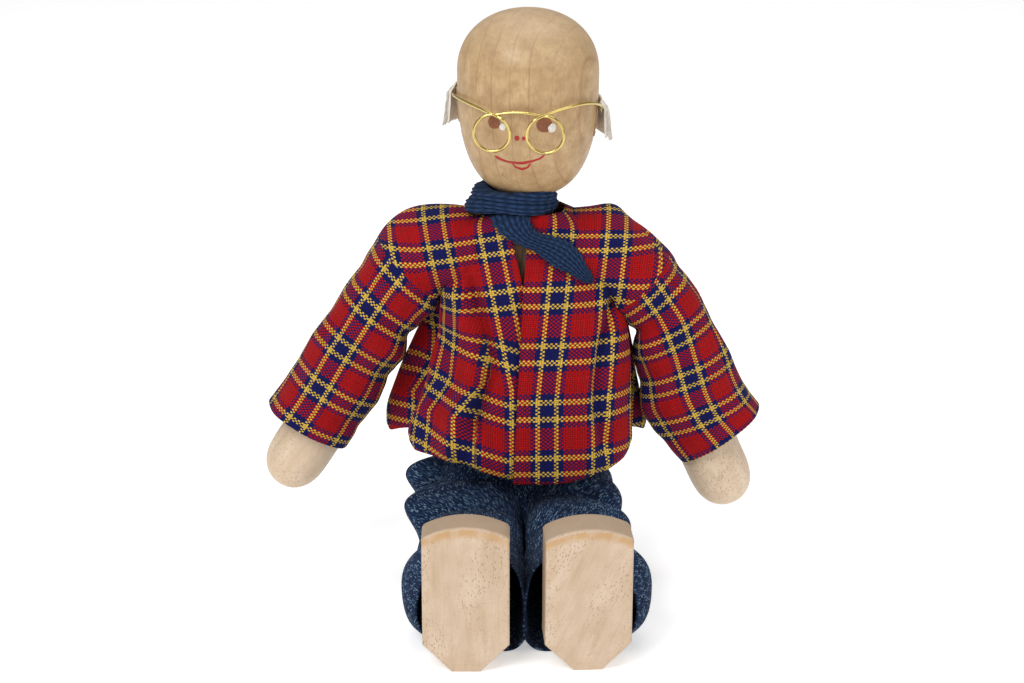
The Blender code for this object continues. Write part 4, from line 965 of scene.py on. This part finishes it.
for side, sign in SIDES.items():
    hip, knee = joint_place["hip_flex_" + side], joint_place["knee_" + side]
    rings = np.array(LEG_RINGS[side]) * MM
    station = np.linspace(rings[0, 0], rings[-1, 0], 150)[:, None]
    outer, inner, top, foot, fold = [folded_line(rings[:, 0], ring, station)
                                     for ring in rings.T[1:]]
    turn = full_turn(150)
    sine, cosine = np.sin(turn), np.cos(turn)
    # The inner sides lie flat against each other, down to the floor.
    sideways = signed_power(cosine, np.where(cosine < 0, np.where(sine < 0, 0.3, 0.5), 0.9))
    upward = signed_power(sine, np.where((cosine < 0) & (sine < 0), 0.4, 0.9))
    out = ((outer + inner) / 2.0 + (outer - inner) / 2.0 * sideways
           + fold * hump(turn, 0.72, 0.45))
    # The underside lies flat on the floor, so the ring's widest place is below its middle.
    waist = foot + 0.46 * (top - foot)
    z = waist + np.where(upward > 0.0, top - waist, waist - foot) * upward
    slump = 1.4 * MM * np.sin(turn - 0.7) * hump(station, 0.012, 0.007)
    wander = 0.6 * MM * np.sin(2.0 * turn + 400.0 * station)
    wander = wander * step_up(station, 0.0, 0.004) * (1.0 - step_up(station, 0.030, 0.036))
    plain = points_of(sign * out, hip[1] - station + slump + wander, z)
    crumple = 0.16 * MM * (np.sin(3.0 * turn + 700.0 * station)
                           + np.sin(5.0 * turn - 520.0 * station)) * step_up(z, 0.0005, 0.004)
    normal = grid_normals(plain, 1) * -sign
    grid = plain + normal * crumple[:, :, None]
    grid[:, :, 2] = np.maximum(grid[:, :, 2], 0.0003)
    length = run_length(plain[:, len(turn) // 4])
    uv = points_of(run_length(closed(plain), 1), length[:, None]) / STITCH
    split = int(np.searchsorted(station[:, 0], KNEE_SPLIT * MM))
    top, low = make_limb("trouser", side, grid, normal, uv, split, 4, jersey, -sign)
    for piece, node in ((top, "trouser_thigh_" + side), (low, "trouser_shin_" + side)):
        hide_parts(node)
    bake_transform(top)
    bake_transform(low)


# Seat
# A bag from the waist down to the flat underside that the doll sits on. It is slacker on
# the doll's right. A table row is in millimetres: a height, how far out, forward and back.
SEAT_RINGS = np.array([(0.0, 12.0, 5.0, 9.5), (0.3, 14.2, 6.0, 11.0), (1.5, 16.8, 7.2, 12.4),
                       (5.5, 18.6, 8.0, 13.4), (11.0, 19.2, 8.4, 13.6), (17.0, 18.2, 8.2, 13.0),
                       (22.0, 15.0, 7.8, 11.4), (27.0, 13.0, 7.4, 10.2)]) * MM
height = np.concatenate([[0.0002], np.linspace(0.0003, 0.027, 90)])[:, None]
turn = full_turn(200)
out, front, back = [smooth_line(SEAT_RINGS[:, 0], ring, height) for ring in SEAT_RINGS.T[1:]]
sine, cosine = np.sin(turn), np.cos(turn)
sag = 0.45 * MM * np.sin(6.0 * turn + 300.0 * height) * step_up(height, 0.002, 0.008)
grid = points_of((out * np.where(sine > 0.0, 0.86, 1.0) + sag) * signed_power(sine, 0.77),
                 -(np.where(cosine > 0.0, front, back) + sag) * signed_power(cosine, 0.77), height)
uv = points_of(run_length(closed(grid[40:41]), 1), height) / STITCH
seat = make_cloth("trouser_seat", grid, uv, CLOTH, jersey, 1)
seat_bottom = make_mesh("trouser_underside", grid[0] + (0.0, 0.0, 0.0002), [range(200)[::-1]],
                        jersey, grid[0][::-1, :2] / STITCH)
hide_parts("trousers_seat")
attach(seat, "torso")
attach(seat_bottom, "torso")


# Scarf
# A navy knitted tape. Its ribs run along its length, and each is a row of V stitches. They
# are drawn out long round the neck and shorter in the free end, which narrows to a point.
# Places in the knit are counted in ribs across and stitches along.
RIB = 0.0014
V_SLANT = 0.55
# The wrap's middle, its reach and its height. It leans out on its right, where it is knotted.
WRAP_MIDDLE, WRAP_REACH, WRAP_THICK = (-0.0013, -0.0008, 0.0), 0.0057, 0.0017
WRAP_LOW, WRAP_HIGH = 0.0674, 0.0723
KNOT_TURN, KNOT_REACH = math.radians(-76.0), 0.0020
WRAP_COLUMNS, WRAP_ROWS, WRAP_STITCHES = 420, 96, 3.6
# The free end leaves the wrap over the slit and lies across the chest. Its middle line and
# its half width are in millimetres: across, height and half width.
SCARF_END = np.array([(-2.7, 69.2, 3.7), (-2.4, 68.5, 3.7), (-1.6, 66.9, 3.0), (0.2, 65.0, 1.9),
                      (2.3, 63.9, 1.6), (4.4, 62.8, 2.2), (6.6, 61.5, 2.6), (8.6, 60.0, 2.0),
                      (10.0, 58.3, 1.4), (11.2, 57.2, 1.0), (11.9, 56.5, 0.4)]) * MM
END_RIBS, END_STITCH = 3.4, 0.00115

tree = Tree("scarf_knit")
ribs, stitches, _ = tree.split(tree.place("UV"))
rib_half = abs(ribs.of("FRACT") * 2.0 - 1.0)
off_leg = (rib_half - 0.5) * 2.0
slanted = stitches - rib_half * V_SLANT
ridge = 0.5 + (slanted * math.tau).of("COSINE") * 0.5
painted_knit_light = (1.0 - off_leg * off_leg) * (0.45 + ridge * 0.55)
ply = tree.noise(tree.join(ribs * 9.0, slanted * 4.0), 1.6, 3.0, 0.6)
hairs = tree.noise(tree.place(), 7000.0, 3.0, 0.7)
# The colour follows the stitches' relief: painted highlight on the yarn's ridges and painted shade
# between the stitches.
colour = tree.ramp(painted_knit_light, [(0.05, (0.0035, 0.009, 0.026)), (0.45, (0.010, 0.026, 0.070)),
                               (0.95, (0.022, 0.050, 0.125))])
colour = tree.mix(tree.span(ply, 0.46, 0.76, 0.0, 0.35), colour, (0.036, 0.080, 0.180))
colour = tree.mix(tree.span(hairs, 0.62, 0.78, 0.0, 0.4), colour, (0.08, 0.15, 0.27))
tree.bump(ply * 0.8 + hairs, 0.8, 0.00012)
scarf_knit = tree.surface(colour, 0.92, sheen=0.03, specular=0.12)


def knit_height(ribs, stitches):
    """The V stitches' height, from 0 between them to 1 on the yarn, as in their material."""
    half = np.abs(2.0 * (ribs - np.floor(ribs)) - 1.0)
    leg = 1.0 - (2.0 * np.abs(half - 0.5)) ** 2
    return leg * (0.45 + 0.55 * (0.5 + 0.5 * np.cos(math.tau * (stitches - V_SLANT * half))))


# The wrap is a slack ring that stands under the chin and comes lower over its knot.
around = full_turn(WRAP_COLUMNS)[:, None]
section = full_turn(WRAP_ROWS)[None, :]
from_knot = np.arctan2(np.sin(around - KNOT_TURN), np.cos(around - KNOT_TURN))
knot = hump(from_knot, 0.0, 0.55)
chest = ((1.0 + np.cos(around + 0.3)) / 2.0) ** 2
low = WRAP_LOW + 0.0012 * chest - 0.0003 * knot
high = WRAP_HIGH + 0.0002 * np.sin(3.0 * around)
height = (high + low) / 2.0 + (high - low) / 2.0 * np.sin(section)
share = (height - low) / (high - low)
outer = step_up(np.cos(section), -0.2, 0.4)
# The tape fills the ring's inside, up to the neck.
side = signed_power(np.cos(section), 0.55) * np.where(np.cos(section) < 0.0, 1.7, 1.0)
flare = 0.0014 * chest + KNOT_REACH * knot * (1.0 - 0.75 * share)
# A crease parts two turns of the tape, and slack presses the turns out of line.
crease = 0.0004 * hump(share + 0.10 * np.sin(2.0 * around), 0.55, 0.10) * outer
slack = 0.00025 * np.sin(4.0 * around + 5.0 * share) * outer
tall = (height - low) / RIB + 0.25 * np.sin(2.0 * around) + 0.5
stitch = around * WRAP_STITCHES + 0.08 * np.sin(7.0 * tall)
relief = 0.00045 * knit_height(tall, stitch) * outer
reach = WRAP_REACH + flare * (0.3 + 0.7 * outer) + WRAP_THICK / 2.0 * side - crease + slack + relief
# The stitches' count runs on past the seam, so the places in the knit close there.
uv = closed(points_of(tall, stitch))
uv = np.concatenate([uv, uv[:1] + (0.0, math.tau * WRAP_STITCHES)])
faces = grid_quads(WRAP_COLUMNS + 1, WRAP_ROWS, 1)[:, ::-1] % (WRAP_COLUMNS * WRAP_ROWS)
wrap = make_mesh("knitted_wrap", points_round(reach, around, height) + WRAP_MIDDLE, faces,
                 scarf_knit, grid_uv(uv).reshape(-1, 4, 2)[:, ::-1])
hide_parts("scarf_wrap")
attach(wrap, "torso")

# The free end bunches below the wrap, opens to a leaf and ends in a tip.
length = run_length(SCARF_END[:, :2])
along = np.linspace(0.0, length[-1], 200)[:, None]
x, z, half = [smooth_line(length, values, along) for values in SCARF_END.T]
run = directions(x[:, 0], z[:, 0])
share = np.linspace(-1.0, 1.0, 90)[None, :]
ribs = END_RIBS * (0.5 + 0.5 * share) + 0.12 * np.sin(along / 0.0021)
stitches = along / END_STITCH
across = half * share * (1.0 + 0.07 * np.abs(share) * np.cos(math.tau * stitches))
x, z = x - run[:, 1:] * across, z + run[:, :1] * across
# It lies on the shirt's front, so its seat is the shirt's squared-off oval.
sides = [np.interp(z, BODY_HEIGHTS, BODY_SIDE[name]) for name in ("left", "right")]
off_middle = np.abs(x) / np.where(x > 0.0, *sides)
seat_depth = np.clip(1.0 - off_middle ** SQUARE, 0.0, 1.0) ** (1.0 / SQUARE)
seat_depth = np.interp(z, BODY_HEIGHTS, BODY_FRONT) * seat_depth + CLOTH
# It starts inside the wrap.
tucked = 1.0 - 0.8 * step_up(z, 0.0680, 0.0692)
thick = (0.0012 + 0.0008 * hump(along, 0.0055, 0.0030)) * np.sqrt(1.0 - 0.96 * share ** 4)
relief = 0.00040 * knit_height(ribs, stitches) * (1.0 - 0.6 * share ** 6)
numbers = np.arange(x.size).reshape(x.shape)
rim = np.concatenate([numbers[0], numbers[1:, -1], numbers[-1, -2::-1], numbers[-2:0:-1, 0]])
ahead = np.roll(rim, -1)
quads = grid_quads(*x.shape, 0)
faces = np.concatenate([quads, quads[:, ::-1] + x.size,
                        np.stack([ahead, rim, rim + x.size, ahead + x.size], axis=1)])[:, ::-1]
points = [points_of(x, -seat_depth - (thick + relief) * tucked, z), points_of(x, -seat_depth, z)]
uv = np.concatenate([points_of(ribs, stitches).reshape(-1, 2)] * 2)
scarf_end = make_mesh("knitted_end", points, faces, scarf_knit, uv[faces])
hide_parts("scarf_end")
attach(scarf_end, "torso")


# Hands
# Pegs turned of pale wood, with a neck where each is glued on its wire and a round tip.
# Lengths are from the elbow.
HAND_START, HAND_NECK, HAND_RADIUS = 0.0170, 0.0047, 0.0055
HAND_NECK_LENGTH, HAND_FRONT, HAND_END = 0.0010, 0.0260, 0.0350
ARM_ANGLE = {"right": math.radians(33.0), "left": math.radians(24.4)}


def pale_wood(name, placing, grain_turn):
    """Pale sycamore. Its grain runs along the piece's own Z, turned by a small angle.

    It has a soft mottle, faint darker lines of growth and short brown pores.
    """
    tree = Tree(name)
    local = tree.stretch(own_axes(tree, placing), turn=(0.0, grain_turn, 0.0))
    mottle = tree.noise(tree.stretch(local, (1.0, 1.0, 0.45)), 300.0, 4.0, 0.6)
    colour = tree.ramp(mottle, [(0.30, (0.50, 0.365, 0.245)), (0.52, (0.57, 0.43, 0.305)),
                                (0.72, (0.63, 0.50, 0.375))])
    bands = tree.noise(tree.stretch(local, (1.0, 0.4, 0.06)), 420.0, 2.0)
    line = tree.span(abs(bands - 0.5), 0.0, 0.035, 1.0, 0.0)
    colour = tree.mix(line * 0.16, colour, (0.42, 0.27, 0.14))
    fibre = tree.noise(tree.stretch(local, (1.0, 1.0, 0.10)), 5200.0, 3.0, 0.6)
    colour = tree.mix(tree.span(fibre, 0.50, 0.75, 0.0, 0.30), colour, (0.42, 0.28, 0.17))
    away, cell = tree.cells(tree.stretch(local, (1.0, 1.0, 0.40)), 4000.0)
    patch = tree.noise(tree.stretch(local, (1.0, 1.0, 0.4)), 170.0, 1.0)
    pore = (tree.span(away, 0.20, 0.44, 1.0, 0.0) * tree.span(tree.split(cell)[0], 0.42, 0.56)
            * tree.span(patch, 0.38, 0.58, 0.15, 1.0))
    colour = tree.mix(pore * 0.70, colour, (0.27, 0.155, 0.08))
    tree.bump(fibre - pore * 1.5, 0.35, 0.00008)
    return tree, local, colour


quarter = np.linspace(0.0, 1.0, 7)
neck = points_of(HAND_START + HAND_NECK_LENGTH * quarter,
                 HAND_NECK + (HAND_RADIUS - HAND_NECK) * np.sin(quarter * math.pi / 2))
tip = np.sin(np.linspace(0.0, 1.0, 32) * math.pi / 2)
tip_radius = HAND_RADIUS * np.sqrt(np.maximum(1.0 - tip ** 3.2, 0.0))
outline = np.concatenate([neck, points_of(HAND_FRONT + (HAND_END - HAND_FRONT) * tip,
                                          np.maximum(tip_radius, 0.00003))])
along, radius = outline[:, :1], outline[:, 1:]
turn = full_turn(96)
hand_grid = points_of(radius * np.cos(turn), radius * np.sin(turn), along)
for side, sign in SIDES.items():
    forearm = Vector((sign * math.sin(ARM_ANGLE[side]), 0.0, -math.cos(ARM_ANGLE[side])))
    placing = (Matrix.Translation(joint_place["elbow_" + side])
               @ forearm.to_track_quat("Z", "Y").to_matrix().to_4x4())
    tree, _, colour = pale_wood("hand_wood_" + side, placing, 0.05)
    # The hands are a little lighter than the feet.
    colour = tree.mix(1.0, colour, (1.14, 1.16, 1.15), "MULTIPLY")
    hand = make_mesh("peg_hand_" + side, to_frame(hand_grid, placing),
                     ring_faces(len(outline), len(turn)), tree.surface(colour, 0.55, coat=0.06))
    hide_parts("wooden_hand_" + side)
    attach(hand, "forearm_" + side)


# Feet
# Blocks sawn of the same wood, with a flat sole, two clipped corners at the heel and an
# arched toe. The saw has scorched a brown line along the sole's toe edge.
FOOT_BACK, FOOT_SOLE = -0.0036, -0.0105
FOOT_HALF, FOOT_HEEL, FOOT_CORNER = 0.0073, -0.0105, 0.0049
FOOT_LENGTH, TOE_RISE, FOOT_EDGE = 0.0259, 0.0019, 0.0004
TOE_RADIUS = (FOOT_HALF ** 2 + TOE_RISE ** 2) / (2.0 * TOE_RISE)
TOE_CENTRE = FOOT_HEEL + FOOT_LENGTH - TOE_RADIUS
# How far each foot points out, leans back and has its grain turned.
FOOT_TURN = {"right": (0.0, 0.0, 0.0),
             "left": (math.radians(4.0), math.radians(3.6), math.radians(-24.0))}


def foot_outline(inset):
    """The sole's outline, moved in from its edge. Its heel corners are rounded a little."""
    half, heel, radius = FOOT_HALF - inset, FOOT_HEEL + inset, TOE_RADIUS - inset
    corner = FOOT_CORNER - 0.5 * inset
    shoulder = FOOT_HEEL + FOOT_LENGTH - TOE_RISE - inset
    spread = math.asin(half / radius)
    arc = np.linspace(spread, -spread, 33)
    toe = points_of(radius * np.sin(arc), TOE_CENTRE + radius * np.cos(arc))
    # The toe's corners are rounded a little.
    toe[[0, -1]] += [(0.00004, -0.0003), (-0.00004, -0.0003)]
    rise = np.linspace(heel + corner, shoulder - 0.0009, 8)[1:]
    return np.concatenate([
        [(-half + corner, heel), (half - corner, heel), (half, heel + corner)],
        points_of(half, rise), toe, points_of(-half, rise[::-1]), [(-half, heel + corner)]])


quarter = np.linspace(0.0, math.pi / 2, 6)
insets, depths = FOOT_EDGE * (1.0 - np.sin(quarter)), FOOT_EDGE * (1.0 - np.cos(quarter))
foot_rows = [(FOOT_BACK - depth, inset) for inset, depth in zip(insets, depths)]
foot_rows += [(FOOT_SOLE + depth, inset) for inset, depth in zip(insets[::-1], depths[::-1])]
foot_grid = np.array([np.insert(foot_outline(inset), 1, depth, axis=1)
                      for depth, inset in foot_rows])
for side, sign in SIDES.items():
    toe_out, lean_back, grain_turn = FOOT_TURN[side]
    placing = (Matrix.Translation(joint_place["ankle_" + side])
               @ Matrix.Rotation(sign * toe_out, 4, "Z") @ Matrix.Rotation(lean_back, 4, "X"))
    tree, local, colour = pale_wood("foot_wood_" + side, placing, grain_turn)
    x, y, z = tree.split(own_axes(tree, placing))
    # The scorch follows the toe's arc: its height is the arc's, less the place's own.
    uneven = tree.noise(tree.stretch(local, (1.0, 1.0, 0.3)), 700.0, 3.0, 0.6)
    below_arc = (TOE_RADIUS ** 2 - x * x).of("SQRT") + TOE_CENTRE - z + uneven * 0.0006
    scorch = (tree.span(below_arc, 0.0004, 0.0007) * tree.span(below_arc, 0.0012, 0.0024, 1.0, 0.0)
              * tree.span(y, FOOT_SOLE + 0.0003, FOOT_SOLE + 0.0007, 1.0, 0.0)
              * tree.span(uneven, 0.30, 0.60, 0.40, 0.80))
    colour = tree.mix(scorch, colour, (0.50, 0.285, 0.115))
    # Every face but the sole is darkened: the end grain at the toe and heel, and painted shade on
    # the sides and back, which turn from the light.
    end_grain_and_side_shade = tree.span(y, FOOT_SOLE + 0.0004, FOOT_SOLE + 0.0010)
    colour = tree.mix(end_grain_and_side_shade * 0.75, colour, (0.36, 0.26, 0.175))
    ripple = tree.noise(tree.stretch(own_axes(tree, placing), (0.12, 1.0, 1.0)), 2600.0, 2.0)
    colour = tree.mix(tree.span(ripple, 0.58, 0.72, 0.0, 0.22), colour, (0.45, 0.30, 0.17))
    foot = make_mesh("block_foot_" + side, to_frame(foot_grid, placing),
                     ring_faces(*foot_grid.shape[:2]), tree.surface(colour, 0.68))
    foot.data.set_sharp_from_angle(angle=math.radians(38.0))
    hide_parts("wooden_foot_" + side)
    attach(foot, "foot_" + side)


# Pieces inside
# The torso shows through the slit. The wires and their thread show when a limb bends.
tree = Tree("torso_maple_shaded")
fibre = tree.noise(tree.stretch(tree.place(), (1.0, 1.0, 0.1)), 3000.0)
tree.bump(fibre, 0.3, 0.00008)
# The maple is given a dark brown: the wood's own colour, with the shade of the slit it is seen
# through painted in.
shaded_torso_finish = tree.surface(
    tree.mix(tree.span(fibre, 0.3, 0.7), (0.19, 0.10, 0.050), (0.33, 0.19, 0.095)), 0.6)
tree = Tree("soft_wire")
scratch = tree.noise(tree.place(), 5000.0)
tree.bump(scratch, 0.15, 0.00003)
wire_finish = tree.surface(tree.mix(scratch, (0.28, 0.27, 0.26), (0.46, 0.45, 0.44)),
                           tree.span(scratch, 0.3, 0.7, 0.32, 0.50), metallic=1.0)
tree = Tree("wound_thread")
fibre = tree.noise(tree.place(), 6000.0, 3.0, 0.7)
turns = tree.noise(tree.place(), 1400.0, 2.0)
tree.bump(fibre + turns, 0.7, 0.00012)
thread_finish = tree.surface(tree.mix(turns, (0.44, 0.39, 0.31), (0.66, 0.61, 0.52)), 0.9, sheen=0.1)
finishes = {"torso_block": shaded_torso_finish, "neck_anchor_wire": wire_finish,
            "shoulder_cross_wire": wire_finish, "neck_wire": wire_finish}
for side in SIDES:
    for name in ("shoulder", "upper_arm", "forearm", "hip", "thigh", "shin", "ankle"):
        finishes[name + "_wire_" + side] = wire_finish
    for name in ("upper_arm", "forearm", "thigh", "shin"):
        finishes[name + "_winding_" + side] = thread_finish
for name, finish in finishes.items():
    node = bpy.data.objects[name]
    node.data.materials.clear()
    node.data.materials.append(finish)
